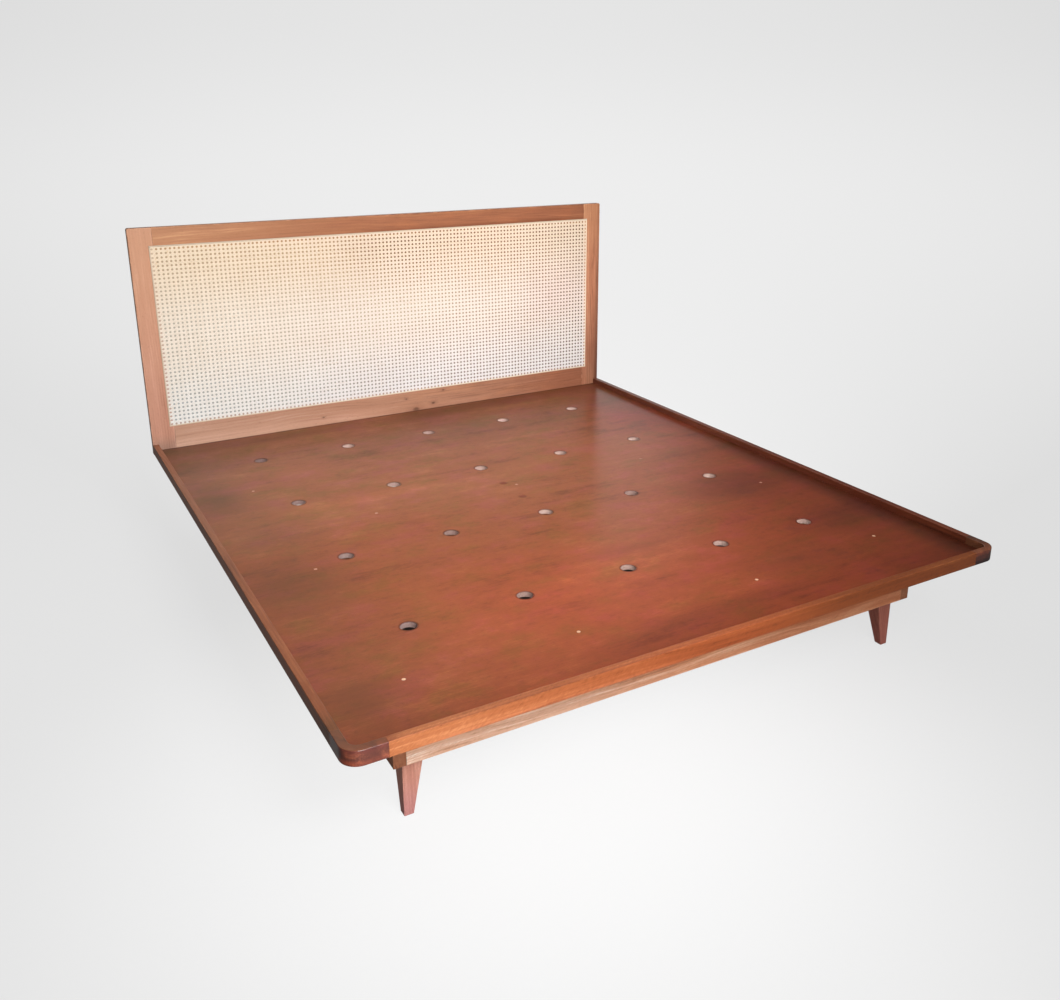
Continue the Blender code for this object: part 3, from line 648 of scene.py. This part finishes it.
# ------------------------------------------------------------------------ deck
def deck_wood(name):
    """Stained veneer on top with its grain across the bed, bare layers in the holes, raw ply below."""
    g = Graph(name)
    x, y, z = g.split(g.point())
    wander = g.noise(g.join(g.times(x, 1.3), g.times(y, 4.0), 1.0), 1.0, 2.0, 0.5)
    across = g.add(y, g.times(g.math("SUBTRACT", wander, 0.5), 0.05))
    band = g.noise(g.join(g.times(x, 1.1), g.times(across, 9.0), 3.0), 1.0, 2.0, 0.5)
    streak = g.noise(g.join(g.times(x, 2.4), g.times(across, 40.0), 5.0), 1.0, 3.0, 0.55)
    fibre = g.noise(g.join(g.times(x, 15.0), g.times(across, 300.0), 7.0), 1.0, 3.0, 0.6)
    fine = g.noise(g.join(g.times(x, 60.0), g.times(across, 1100.0), 9.0), 1.0, 2.0, 0.6)
    pore = g.span(g.noise(g.join(g.times(x, 110.0), g.times(across, 1500.0), 11.0), 1.0, 1.0, 0.5), 0.63, 0.73)
    cloud = g.noise(g.join(g.times(x, 2.2), g.times(y, 2.6), 13.0), 1.0, 4.0, 0.6)
    mottle = g.noise(g.join(g.times(x, 10.0), g.times(y, 16.0), 17.0), 1.0, 4.0, 0.65)
    value = g.add(
        0.5,
        g.times(g.math("SUBTRACT", band, 0.5), 0.42),
        g.times(g.math("SUBTRACT", streak, 0.5), 0.28),
        g.times(g.math("SUBTRACT", fibre, 0.5), 0.36),
        g.times(g.math("SUBTRACT", fine, 0.5), 0.38),
        g.times(g.math("SUBTRACT", cloud, 0.5), 0.56),
        g.times(g.math("SUBTRACT", mottle, 0.5), 0.54),
    )
    stain_light_and_shade = g.ramp(value, (0.12, srgb(110, 58, 34)), (0.5, srgb(155, 88, 54)), (0.88, srgb(186, 114, 74)))

    def tinted(colour, factor, tint):
        return g.mix(factor, colour, g.mix(1.0, colour, (*tint, 1.0), "MULTIPLY"))

    # Uneven uptake: rosy patches and olive ones.
    hue = g.noise(g.join(g.times(x, 6.0), g.times(y, 9.0), 23.0), 1.0, 5.0, 0.68)
    stain_light_and_shade = tinted(stain_light_and_shade, g.span(hue, 0.50, 0.66), (1.08, 0.97, 1.42))
    stain_light_and_shade = tinted(stain_light_and_shade, g.span(hue, 0.50, 0.34), (0.85, 1.03, 0.78))
    speck = g.noise(g.join(g.times(x, 42.0), g.times(y, 64.0), 29.0), 1.0, 4.0, 0.7)
    stain_light_and_shade = tinted(stain_light_and_shade, g.span(speck, 0.52, 0.70), (0.87, 0.86, 0.93))
    stain_light_and_shade = tinted(stain_light_and_shade, g.span(speck, 0.48, 0.30), (1.08, 1.09, 1.03))
    # The stain turns redder towards the foot and the right, and darker there, partly painted shade where the light
    # falls off.
    stain_light_and_shade = tinted(stain_light_and_shade, g.times(g.span(g.add(g.times(x, 0.5), g.times(y, -0.45)), -0.10, 0.62), 0.9), (0.97, 0.60, 0.50))
    # Dark smudges, olive on the left and reddish on the right: most where the stain pooled, and the long strips by the
    # headboard and along the foot rail as painted shadow.
    smudge_and_shade = None
    for at, size, depth in (
        ((0.63, -0.30), (0.30, 0.20), 0.55),
        ((0.70, 0.06), (0.22, 0.10), 0.40),
        ((0.74, -0.66), (0.24, 0.16), 0.35),
        ((0.42, -0.80), (0.28, 0.14), 0.35),
        ((-0.84, 0.42), (0.12, 0.22), 0.50),
        ((-0.80, -0.30), (0.22, 0.26), 0.42),
        ((-0.83, -0.86), (0.14, 0.14), 0.40),
        ((-0.74, 0.02), (0.20, 0.10), 0.22),
        ((0.08, -0.52), (0.30, 0.05), 0.25),
        # painted shadow by the headboard
        ((0.05, 0.90), (0.20, 0.10), 0.35),
        ((-0.50, 0.92), (0.36, 0.05), 0.25),
        # painted shadow along the foot rail
        ((0.10, -0.92), (0.55, 0.05), 0.25),
    ):
        one = g.times(g.spot(x, y, at, size), depth)
        smudge_and_shade = one if smudge_and_shade is None else g.math("MAXIMUM", smudge_and_shade, one)
    smudge_and_shade = g.times(smudge_and_shade, g.span(mottle, 0.30, 0.62, 0.45, 1.0))
    stain_light_and_shade = g.mix(smudge_and_shade, stain_light_and_shade, g.mix(g.span(x, -0.5, 0.3), srgb(92, 62, 40), srgb(92, 48, 36)))
    stain_light_and_shade = g.mix(g.times(pore, 0.35), stain_light_and_shade, srgb(70, 36, 22))
    # A pale stroke and darker borders, with painted light and shade: darker towards the headboard, to the right and at
    # the foot on the right, a painted contact shadow along the headboard, a painted shadow of the foot rail along the
    # front edge, a painted sheen at the back on the left, a warmer, paler patch at the front, and a painted pink
    # reflection at the back on the right.
    footwards = g.span(y, 0.35, -0.25)
    for factor, tint in (
        (g.spot(x, y, (-0.48, 0.20), (0.46, 0.06)), (1.16, 1.14, 1.10)),
        # painted shade towards the headboard, and a painted contact shadow at it
        (g.span(y, 0.15, 0.95), (0.72, 0.82, 0.95)),
        (g.span(y, 0.84, 0.98), (0.84, 0.78, 0.76)),
        # painted shade to the right and at the foot on the right, where the light falls off
        (g.span(x, 0.20, 0.88), (0.92, 0.84, 0.82)),
        (g.times(g.span(x, 0.30, 0.85), footwards), (0.80, 0.84, 0.88)),
        # darker along the right and left borders
        (g.times(g.span(x, 0.79, 0.905), g.span(y, 0.50, 0.0, 0.35, 1.0)), (0.42, 0.46, 0.54)),
        (g.span(x, -0.5, -0.9), (0.77, 0.82, 0.88)),
        # painted shadow of the foot rail along the front edge
        (g.span(y, -0.80, -1.02), (0.88, 0.82, 0.78)),
        # redder at the front on the left
        (g.times(g.span(x, 0.15, -0.35), g.span(y, 0.15, -0.12)), (1.0, 0.86, 0.78)),
        # painted sheen at the back on the left
        (g.spot(x, y, (-0.66, 0.57), (0.50, 0.24)), (1.20, 1.16, 1.18)),
        # a warmer, paler patch at the front
        (g.spot(x, y, (-0.16, -0.65), (0.60, 0.38)), (1.25, 1.06, 0.97)),
        # painted shade by the headboard and on the right
        (g.spot(x, y, (0.36, 0.94), (0.50, 0.12)), (0.76, 0.74, 0.74)),
        (g.spot(x, y, (0.16, 0.72), (0.55, 0.40)), (0.86, 0.82, 0.84)),
        (g.spot(x, y, (0.85, 0.55), (0.22, 0.52)), (0.82, 0.63, 0.67)),
        # painted pink reflection at the back on the right
        (g.spot(x, y, (0.74, 0.48), (0.26, 0.28)), (1.1, 0.8, 0.85)),
        # painted contact shadow along the headboard
        (g.times(g.span(y, 0.978, 0.990), g.span(mottle, 0.38, 0.55, 0.4, 1.0)), (0.50, 0.44, 0.44)),
        # darker mottle on the right
        (g.times(g.span(mottle, 0.54, 0.70), g.span(x, 0.10, 0.55)), (0.80, 0.82, 0.90)),
    ):
        stain_light_and_shade = tinted(stain_light_and_shade, factor, tint)
    # Finish rubbed in around the two plugs.
    for node in ("deck_plug_front", "deck_plug_rear"):
        low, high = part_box(node)
        at = ((low.x + high.x) / 2, (low.y + high.y) / 2)
        stain_light_and_shade = tinted(stain_light_and_shade, g.spot(x, y, at, (0.017, 0.017), 0.6), (0.62, 0.52, 0.50))
    # The stain soaked in deeper around each hole.
    gaps = []
    for line, at, step in ((x, 0.0, VENT_STEP_X), (y, VENT_FIRST_Y, VENT_STEP_Y)):
        turns = g.add(g.times(g.math("SUBTRACT", line, at), 1.0 / step), 0.5)
        gaps.append(g.times(g.math("SUBTRACT", g.math("FRACT", turns), 0.5), step))
    to_hole = g.math("SQRT", g.add(g.times(gaps[0], gaps[0]), g.times(gaps[1], gaps[1])))
    stain_light_and_shade = tinted(stain_light_and_shade, g.times(g.span(to_hole, VENT_R + 0.0060, VENT_R + 0.0010), g.span(mottle, 0.35, 0.6, 0.5, 1.0)), (0.44, 0.38, 0.38))
    # Bare edges of the layers in the holes, grubbier in some than in others, and the unfinished underside.
    layer = g.math("SINE", g.times(z, math.tau / 0.0030))
    grit = g.noise(g.join(g.times(x, 420.0), g.times(y, 420.0), g.times(z, 700.0)), 1.0, 3.0, 0.6)
    bare_and_shade = g.ramp(g.add(0.5, g.times(layer, 0.20), g.times(g.math("SUBTRACT", grit, 0.5), 1.0)),
                  (0.1, srgb(128, 96, 84)), (0.5, srgb(192, 160, 148)), (0.9, srgb(234, 208, 198)))
    grubby = g.noise(g.join(g.times(x, 3.1), g.times(y, 3.7), 41.0), 1.0, 1.0, 0.5)
    bare_and_shade = tinted(bare_and_shade, g.span(grubby, 0.42, 0.68), (0.66, 0.62, 0.62))
    # Painted shade: the hole walls darker and bluer on the left.
    bare_and_shade = tinted(bare_and_shade, g.span(x, -0.2, -0.6), (0.66, 0.66, 0.70))
    bare_and_shade = tinted(bare_and_shade, g.span(g.math("ABSOLUTE", g.math("SUBTRACT", y, SEAM_Y)), 0.003, 0.006, 1.0, 0.0), (0.16, 0.12, 0.10))
    bare_and_shade = tinted(bare_and_shade, g.span(z, DECK_TOP - 0.0036, DECK_TOP - 0.0010), (0.52, 0.40, 0.36))
    under = g.ramp(value, (0.15, srgb(150, 116, 84)), (0.5, srgb(186, 150, 114)), (0.85, srgb(206, 174, 140)))
    facing = g.split(g.normal())[2]
    colour = g.mix(g.span(facing, 0.3, 0.7), g.mix(g.span(facing, -0.7, -0.3), under, bare_and_shade), stain_light_and_shade)
    g.set(
        color=colour,
        rough=g.add(0.50, g.times(fibre, 0.12), g.times(smudge_and_shade, 0.08)),
        shine=0.12,
        coat=0.36,
        coat_rough=0.24,
        coat_ior=1.45,
        normal=g.bump(g.add(g.times(fine, 0.4), g.times(fibre, 0.4), g.times(pore, -0.6)), 0.18, 0.0005),
    )
    return g.material


VENT_STEP_X, VENT_FIRST_Y, VENT_STEP_Y, VENT_R = 0.313, -0.6195, 0.4425, 0.021
DECK_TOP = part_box("deck_front")[1].z
SEAM_Y = (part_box("deck_front")[1].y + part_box("deck_rear")[0].y) / 2
deck = deck_wood("deck_veneer")
dress("deck_front", deck)
dress("deck_rear", deck)
for i, node in enumerate(("deck_plug_front", "deck_plug_rear")):
    dress(node, wood(node + "_wood", node, 0, (104, 44, 24), (128, 58, 34), (150, 76, 50), seed=140.0 + 5.0 * i, rough=0.65, coat=0.0))


# ------------------------------------------------------------------------ cane
def cane(name):
    """Split rattan: glossy skin with lengthwise lines, each strand a little different."""
    g = Graph(name)
    x, y, z = g.split(g.point())
    own = g.attribute("strand")
    along = g.attribute("along")
    line = g.noise(g.join(g.times(along, 30.0), g.times(own, 60.0), 0.0), 1.0, 3.0, 0.6)
    node_mark = g.noise(g.join(g.times(along, 5.0), g.times(own, 91.0), 4.0), 1.0, 2.0, 0.5)
    cloud = g.noise(g.join(g.times(x, 3.0), g.times(z, 3.0), 5.0), 1.0, 3.0, 0.5)
    value = g.add(
        0.5,
        g.times(g.math("SUBTRACT", own, 0.5), 0.35),
        g.times(g.math("SUBTRACT", line, 0.5), 0.5),
        g.times(g.math("SUBTRACT", cloud, 0.5), 0.3),
    )
    colour = g.ramp(value, (0.1, srgb(203, 190, 174)), (0.5, srgb(217, 207, 196)), (0.9, srgb(224, 218, 210)))
    colour = g.mix(g.times(g.span(node_mark, 0.66, 0.74), 0.4), colour, srgb(206, 172, 134))
    # Honey-coloured higher up, paler lower down.
    colour = g.mix(1.0, colour, g.ramp(g.span(z, 0.42, 1.02, smooth=False), (0.0, (1.02, 1.09, 1.16, 1.0)), (0.45, (1.03, 1.01, 0.97, 1.0)), (1.0, (0.99, 0.90, 0.745, 1.0))), "MULTIPLY")
    # Painted shade: the weave is darker from the left edge towards the middle and the right.
    colour = g.mix(1.0, colour, g.ramp(g.span(x, -0.78, 0.78, smooth=False), (0.0, (1.0, 1.0, 1.0, 1.0)), (0.5, (0.87, 0.85, 0.87, 1.0)), (1.0, (0.88, 0.86, 0.88, 1.0))), "MULTIPLY")
    colour = g.mix(g.spot(x, z, (0.72, 0.74), (0.26, 0.20)), colour, g.mix(1.0, colour, (1.0, 0.93, 0.94, 1.0), "MULTIPLY"))
    g.set(
        color=colour,
        rough=g.add(0.36, g.times(line, 0.2)),
        shine=0.4,
        normal=g.bump(line, 0.15, 0.0002),
    )
    return g.material


slab_low, slab_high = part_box("cane_webbing")
CANE_Y = (slab_low.y + slab_high.y) / 2
HOLE_X0, PITCH_X, COLUMNS = -0.8580, 0.01468, 118
HOLE_Z0, PITCH_Z, ROWS = 0.4082, 0.01433, 44
STRAND_W, STRAND_T = 0.0029, 0.00050
PAIR = 0.0040  # centre to centre of the two strands in a pair
RISE, DIAGONAL_RISE = 0.00028, 0.00062
x_min, x_max = -SPLINE_X, SPLINE_X
z_min, z_max = SPLINE_LOW, SPLINE_HIGH
upright_lines = [HOLE_X0 + (i - 0.5) * PITCH_X for i in range(COLUMNS + 1)]
level_lines = [HOLE_Z0 + (j - 0.5) * PITCH_Z for j in range(ROWS + 1)]


def strand_mesh(name, paths, material):
    """Ribbons with a flat back and a ridged front along paths of (points, width direction)."""
    verts, faces, owns, alongs = [], [], [], []
    count = 0
    for points, side in paths:
        points = np.asarray(points)
        n = len(points)
        half = np.asarray(side) * STRAND_W / 2
        back = np.array((0.0, STRAND_T / 2, 0.0))
        ring = np.stack((points - half + back, points + half + back, points - back), axis=1)
        verts.append(ring.reshape(-1, 3))
        run = np.concatenate(([0.0], np.cumsum(np.linalg.norm(np.diff(points, axis=0), axis=1))))
        own = rng.rand()
        owns.append(np.full(n * 3, own))
        alongs.append(np.repeat(run + own * 7.0, 3))
        base = count + 3 * np.arange(n - 1)
        for s in range(3):
            a, b = s, (s + 1) % 3
            faces.append(np.stack((base + a, base + b, base + 3 + b, base + 3 + a), axis=1))
        count += 3 * n
    mesh = bpy.data.meshes.new(name)
    ends = []
    start = 0
    for points, _ in paths:
        last = start + 3 * (len(points) - 1)
        ends.append((start + 2, start + 1, start))
        ends.append((last, last + 1, last + 2))
        start += 3 * len(points)
    mesh.from_pydata(np.concatenate(verts), [], np.concatenate(faces).tolist() + ends)
    bm = bmesh.new()
    bm.from_mesh(mesh)
    bmesh.ops.recalc_face_normals(bm, faces=bm.faces)
    bm.to_mesh(mesh)
    bm.free()
    for label, values in (("strand", owns), ("along", alongs)):
        layer = mesh.attributes.new(label, "FLOAT", "POINT")
        layer.data.foreach_set("value", np.concatenate(values).astype(np.float32))
    mesh.shade_smooth()
    mesh.set_sharp_from_angle(angle=math.radians(60.0))
    mesh.materials.append(material)
    made = bpy.data.objects.new(name, mesh)
    scene.collection.objects.link(made)
    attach(made, "root")
    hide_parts("cane_webbing")
    return made


cane_skin = cane("cane_skin")

paths = []
for i, line in enumerate(upright_lines):
    for a in (0, 1):
        x = line + (a - 0.5) * PAIR
        if not x_min + STRAND_W * 0.3 < x < x_max - STRAND_W * 0.3:
            continue
        keys = [(z_min, 0.0)]
        for j, level in enumerate(level_lines):
            for b in (0, 1):
                z = level + (b - 0.5) * PAIR
                if z_min + 0.0005 < z < z_max - 0.0005:
                    keys.append((z, -RISE if (a + b) % 2 == 0 else RISE))
        keys.append((z_max, 0.0))
        paths.append(([(x, CANE_Y + rise, z) for z, rise in keys], (1.0, 0.0, 0.0)))
strand_mesh("cane_uprights", paths, cane_skin)

paths = []
for j, level in enumerate(level_lines):
    for b in (0, 1):
        z = level + (b - 0.5) * PAIR
        if not z_min + STRAND_W * 0.3 < z < z_max - STRAND_W * 0.3:
            continue
        keys = [(x_min, 0.0)]
        for i, line in enumerate(upright_lines):
            for a in (0, 1):
                x = line + (a - 0.5) * PAIR
                if x_min + 0.0005 < x < x_max - 0.0005:
                    keys.append((x, RISE if (a + b) % 2 == 0 else -RISE))
        keys.append((x_max, 0.0))
        paths.append(([(x, CANE_Y + rise, z) for x, rise in keys], (0.0, 0.0, -1.0)))
strand_mesh("cane_levels", paths, cane_skin)


def clipped(points):
    """The part of a slanting path that lies inside the spline's frame."""
    kept = []
    for (x0, y0, z0), (x1, y1, z1) in zip(points, points[1:]):
        t0, t1 = 0.0, 1.0
        for p, d, low, high in ((x0, x1 - x0, x_min, x_max), (z0, z1 - z0, z_min, z_max)):
            enter, leave = sorted(((low - p) / d, (high - p) / d))
            t0, t1 = max(t0, enter), min(t1, leave)
        if t1 - t0 < 1e-6:
            continue
        for t in (t0, t1):
            q = (x0 + t * (x1 - x0), y0 + t * (y1 - y0), z0 + t * (z1 - z0))
            if not kept or math.dist(kept[-1], q) > 1e-6:
                kept.append(q)
    return kept


length = math.hypot(PITCH_X, PITCH_Z)
for label, lean in (("cane_rising", 1), ("cane_falling", -1)):
    paths = []
    across = (PITCH_Z / length, 0.0, -lean * PITCH_X / length)
    for k in range(-ROWS - 2, COLUMNS + 3):
        # Starts below the sheet on a line of uprights, at the height of a row of holes.
        column0 = k if lean > 0 else k + ROWS + 1
        points = []
        for n in range(2 * (ROWS + 3)):
            x = HOLE_X0 + (column0 - 0.5) * PITCH_X + lean * n * PITCH_X / 2
            z = HOLE_Z0 - PITCH_Z + n * PITCH_Z / 2
            over_uprights = n % 2 == 0
            front = over_uprights if lean > 0 else not over_uprights
            points.append((x, CANE_Y + (-DIAGONAL_RISE if front else DIAGONAL_RISE), z))
        points = clipped(points)
        if len(points) >= 2 and math.dist(points[0], points[-1]) > 0.004:
            paths.append((points, across))
    strand_mesh(label, paths, cane_skin)


def reed(name, axis, seed, spline_shade):
    """Round-edged spline of the same rattan, laid over the ends of the weave, darkened by a painted-shade factor for
    its side.
    """
    g = Graph(name)
    axes = g.split(g.point())
    others = [i for i in range(3) if i != axis]
    line = g.noise(g.join(g.times(axes[axis], 14.0), g.times(axes[others[0]], 1300.0), g.add(g.times(axes[others[1]], 1300.0), seed)), 1.0, 3.0, 0.6)
    patch = g.noise(g.join(g.times(axes[axis], 6.0), seed, 0.0), 1.0, 3.0, 0.6)
    value = g.add(0.5, g.times(g.math("SUBTRACT", line, 0.5), 0.6), g.times(g.math("SUBTRACT", patch, 0.5), 0.5))
    colour = g.ramp(value, (0.1, srgb(214, 192, 160)), (0.5, srgb(232, 214, 190)), (0.9, srgb(242, 230, 212)))
    colour = g.mix(1.0, colour, (spline_shade, spline_shade * 0.97, spline_shade * 0.95, 1.0), "MULTIPLY")
    g.set(color=colour, rough=g.add(0.4, g.times(line, 0.2)), shine=0.35, normal=g.bump(line, 0.25, 0.0003))
    return g.material


# Each side gets its own painted shade, darkest at the top under the rail.
for i, (side, axis, spline_shade) in enumerate((("top", 0, 0.62), ("bottom", 0, 0.74), ("left", 2, 0.68), ("right", 2, 0.84))):
    dress("cane_spline_" + side, reed("spline_reed_" + side, axis, 3.0 + 7.0 * i, spline_shade))


# ---------------------------------------------------------------------- fixings
def plating(name, tint, seed, metal):
    """Plated or lacquered steel with a fine uneven grain."""
    g = Graph(name)
    x, y, z = g.split(g.point())
    spangle = g.noise(g.join(g.times(x, 900.0), g.times(y, 900.0), g.add(g.times(z, 900.0), seed)), 1.0, 3.0, 0.6)
    colour = g.ramp(spangle, (0.3, srgb(*[c * 0.82 for c in tint])), (0.7, srgb(*tint)))
    g.set(color=colour, metal=metal, rough=g.add(0.30, g.times(spangle, 0.25)), normal=g.bump(spangle, 0.15, 0.0002))
    return g.material


def star(arms, reach, narrow):
    """Outline of a cross recess: straight arms of a given half width."""
    points = []
    for k in range(arms):
        turn = math.tau * k / arms
        c, d = math.cos(turn), math.sin(turn)
        for along, across in ((narrow, -narrow), (reach, -narrow), (reach, narrow)):
            points.append((along * c - across * d, along * d + across * c))
    return points


def hexagon(reach):
    return [(reach * math.cos(math.tau * k / 6), reach * math.sin(math.tau * k / 6)) for k in range(6)]


def fixing_mesh(name, rings, tip, recess, depth, placed):
    """A turned fixing that points to -Z, with a drive recess sunk in its first ring."""
    sides = 32
    bm = bmesh.new()
    loops = []
    for radius, level in rings:
        loops.append([
            bm.verts.new((radius * math.cos(math.tau * k / sides), radius * math.sin(math.tau * k / sides), level))
            for k in range(sides)
        ])
    for upper, lower in zip(loops, loops[1:]):
        for k in range(sides):
            bm.faces.new((upper[k], lower[k], lower[(k + 1) % sides], upper[(k + 1) % sides]))
    point = bm.verts.new((0.0, 0.0, tip))
    for k in range(sides):
        bm.faces.new((loops[-1][k], point, loops[-1][(k + 1) % sides]))
    level = rings[0][1]
    mouth = [bm.verts.new((x, y, level)) for x, y in recess]
    floor = [bm.verts.new((x * 0.62, y * 0.62, level - depth)) for x, y in recess]
    count = len(recess)
    for k in range(count):
        bm.faces.new((mouth[k], mouth[(k + 1) % count], floor[(k + 1) % count], floor[k]))
    bm.faces.new(floor)
    rim = [bm.edges.get((loop[k], loop[(k + 1) % len(loop)])) for loop in (loops[0], mouth) for k in range(len(loop))]
    bmesh.ops.triangle_fill(bm, use_beauty=True, edges=rim)
    bmesh.ops.transform(bm, matrix=placed, verts=bm.verts)
    bmesh.ops.recalc_face_normals(bm, faces=bm.faces)
    mesh = bpy.data.meshes.new(name)
    bm.to_mesh(mesh)
    bm.free()
    mesh.shade_smooth()
    mesh.set_sharp_from_angle(angle=math.radians(28.0))
    return mesh


plated = plating("plated_steel", (236, 226, 206), 1.0, 0.85)
# The four front deck screws get pale heads and the others duller, browner ones: the pale heads are a painted highlight,
# where those screws catch the light.
glint_head = plating("glint_screw_head", (255, 206, 168), 2.0, 0.10)
dull_head = plating("dull_screw_head", (214, 150, 122), 3.0, 0.10)
GLINTING = ("deck_screw_left_1", "deck_screw_front_1", "deck_screw_front_2", "deck_screw_right_1")
for node in list(nodes):
    if not node.startswith(("deck_screw_", "strut_bolt_", "strut_screw_")):
        continue
    low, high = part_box(node)
    middle = (low + high) / 2
    if node.startswith("deck_screw_"):
        length = high.z - low.z
        rings = [(0.00440, 0.0), (0.00455, -0.00015), (0.00200, -0.00340), (0.00200, -length + 0.006)]
        recess, depth = star(4, 0.0023, 0.00062), 0.0016
        placed = Matrix.Translation((middle.x, middle.y, high.z)) @ Matrix.Rotation(rng.uniform(0.0, 1.5), 4, "Z")
    else:
        head = 0.005
        length = high.y - low.y - head
        rings = [(0.00344, 0.0047), (0.0063, 0.0039), (0.0082, 0.0027), (0.0089, 0.00125), (0.0089, 0.0), (0.0039, 0.0), (0.0039, -length + 0.006)]
        recess, depth = (hexagon(0.0029), 0.0026) if "bolt" in node else (star(4, 0.0029, 0.0008), 0.0022)
        placed = (
            Matrix.Translation((middle.x, high.y - head, middle.z))
            @ Matrix.Rotation(-math.pi / 2, 4, "X")
            @ Matrix.Rotation(rng.uniform(0.0, 1.5), 4, "Z")
        )
    mesh = fixing_mesh("driven_" + node, rings, -length, recess, depth, placed)
    mesh.materials.append(plated if "strut" in node else glint_head if node in GLINTING else dull_head)
    made = bpy.data.objects.new("driven_" + node, mesh)
    scene.collection.objects.link(made)
    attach(made, "root")
    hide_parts(node)

# ------------------------------------------------------------- floor and light
# A round paper sweep: floor, a wide curve, and a wall all the way round.
profile = [(0.0, 0.0), (2.0, 0.0), (5.0, 0.0)]
profile += [(9.0 + 4.0 * math.sin(t), 4.0 - 4.0 * math.cos(t)) for t in np.linspace(0.0, math.pi / 2, 17)]
profile.append((13.0, 9.0))
SEGMENTS = 96
sweep_verts = [
    (r * math.cos(math.tau * k / SEGMENTS), r * math.sin(math.tau * k / SEGMENTS), z)
    for r, z in profile[1:]
    for k in range(SEGMENTS)
]
sweep_faces = [
    (i * SEGMENTS + k, i * SEGMENTS + (k + 1) % SEGMENTS, (i + 1) * SEGMENTS + (k + 1) % SEGMENTS, (i + 1) * SEGMENTS + k)
    for i in range(len(profile) - 2)
    for k in range(SEGMENTS)
]
sweep_faces.append(tuple(range(SEGMENTS - 1, -1, -1)))
sweep_mesh = bpy.data.meshes.new("sweep")
sweep_mesh.from_pydata(sweep_verts, [], sweep_faces)
sweep_mesh.shade_smooth()
sweep = bpy.data.objects.new("sweep", sweep_mesh)
scene.collection.objects.link(sweep)
sweep.visible_diffuse = False
sweep.visible_glossy = False

# The paper glows instead of being lit: brightest in a painted pool of light round the foot of the bed, a little greyer
# off to the sides and higher up, with a painted shadow under the bed.
g = Graph("pale_paper")
fx, fy, fz = g.split(g.point())
POOL = (-0.40, -1.00)
dx, dy = g.math("SUBTRACT", fx, POOL[0]), g.math("SUBTRACT", fy, POOL[1])
reach = g.math("SQRT", g.add(g.times(dx, dx), g.times(dy, dy), 1e-4))
ahead = g.math("DIVIDE", g.add(g.times(dx, 0.50), g.times(dy, 0.866)), reach)
level = g.span(ahead, 0.72, 1.0, 226 / 255, 242 / 255, smooth=False)
pool = g.span(reach, 0.10, 1.52, 1.0, 0.0)
level = g.add(level, g.times(pool, g.math("SUBTRACT", 249 / 255, level)))
level = g.math("SUBTRACT", level, g.span(fz, 0.3, 3.0, 0.0, 8 / 255))
glow = g.math("SUBTRACT", g.math("POWER", level, 2.25), 0.075)
tooth = g.noise(g.join(g.times(fx, 60.0), g.times(fy, 60.0), g.times(fz, 60.0)), 1.0, 2.0, 0.5)
glow = g.times(glow, g.span(tooth, 0.0, 1.0, 0.996, 1.004))
# Painted shadow under the bed: the glow all but goes out there.
shade = g.times(
    g.span(fx, -0.70, -0.45), g.span(fx, 0.75, 1.00, 1.0, 0.0),
    g.span(fy, -0.70, -0.12), g.span(fy, 0.85, 1.10, 1.0, 0.0),
    g.span(fz, 0.0, 0.2, 1.0, 0.0),
)
glow = g.times(glow, g.math("SUBTRACT", 1.0, g.times(shade, 0.995)))
g.set(color=(0.10, 0.10, 0.10, 1.0), rough=1.0, shine=0.0, glow=g.join(glow, glow, glow), glow_level=1.0)
sweep_mesh.materials.append(g.material)

# Soft surroundings: a pale ceiling, dimmer to the left and right, and a bright strip behind on the right.
world = bpy.data.worlds.new("studio")
world.use_nodes = True
scene.world = world
g = Graph("studio", world)
nx, ny, nz = g.split(g.direction())
ceiling = g.span(nz, 0.05, 0.75, 0.0, 1.0)
side = g.times(g.span(nx, -0.15, -0.85, 1.0, 0.35), g.span(nx, 0.10, 0.85, 1.0, 0.45))
low_right = g.times(g.span(nx, 0.20, 0.45), g.span(nz, 0.35, 0.70, 1.0, 0.0), g.span(ny, 0.0, 0.3))
side = g.times(side, g.math("SUBTRACT", 1.0, g.times(low_right, 0.60)))
around = g.span(ny, -1.0, 0.6, 0.46, 0.22)
radiance = g.add(g.times(ceiling, 0.58), g.times(g.math("SUBTRACT", 1.0, ceiling), around))
radiance = g.times(radiance, side)
bearing = g.math("DIVIDE", nx, g.math("MAXIMUM", ny, 0.02))
strip = g.times(
    g.span(bearing, 0.20, 0.35),
    g.span(bearing, 0.70, 0.86, 1.0, 0.0),
    g.span(nz, 0.36, 0.50, 1.0, 0.0),
    g.span(nz, -0.02, 0.10),
    g.span(ny, 0.1, 0.3),
)
strip = g.times(strip, g.span(nz, 0.29, 0.345, 1.22, 1.75))
radiance = g.add(radiance, strip)
background = world.node_tree.nodes["Background"]
g.put(background.inputs["Color"], g.join(radiance, g.times(radiance, 0.99), g.times(radiance, 0.975)))
background.inputs["Strength"].default_value = 1.0


def area_light(name, at, to, width, height, power, colour=(1.0, 1.0, 1.0), spread=180.0):
    data = bpy.data.lights.new(name, "AREA")
    data.shape = "RECTANGLE"
    data.size, data.size_y = width, height
    data.energy = power
    data.color = colour
    data.spread = math.radians(spread)
    made = bpy.data.objects.new(name, data)
    scene.collection.objects.link(made)
    made.location = at
    made.rotation_euler = (Vector(to) - Vector(at)).to_track_quat("-Z", "Y").to_euler()
    made.visible_camera = False
    return made


area_light("key", (-0.50, -2.80, 2.40), (-0.45, 0.99, 0.72), 1.2, 1.0, 32.0, spread=80.0)
area_light("head_key", (0.25, -3.60, 1.70), (0.60, 0.99, 0.80), 0.9, 0.7, 5.2, spread=30.0)
area_light("low_fill", (-0.85, -2.80, 0.50), (-0.75, -1.00, 0.24), 0.9, 0.7, 9.0, spread=120.0)

scene.view_settings.view_transform = "Standard"
scene.view_settings.look = "None"
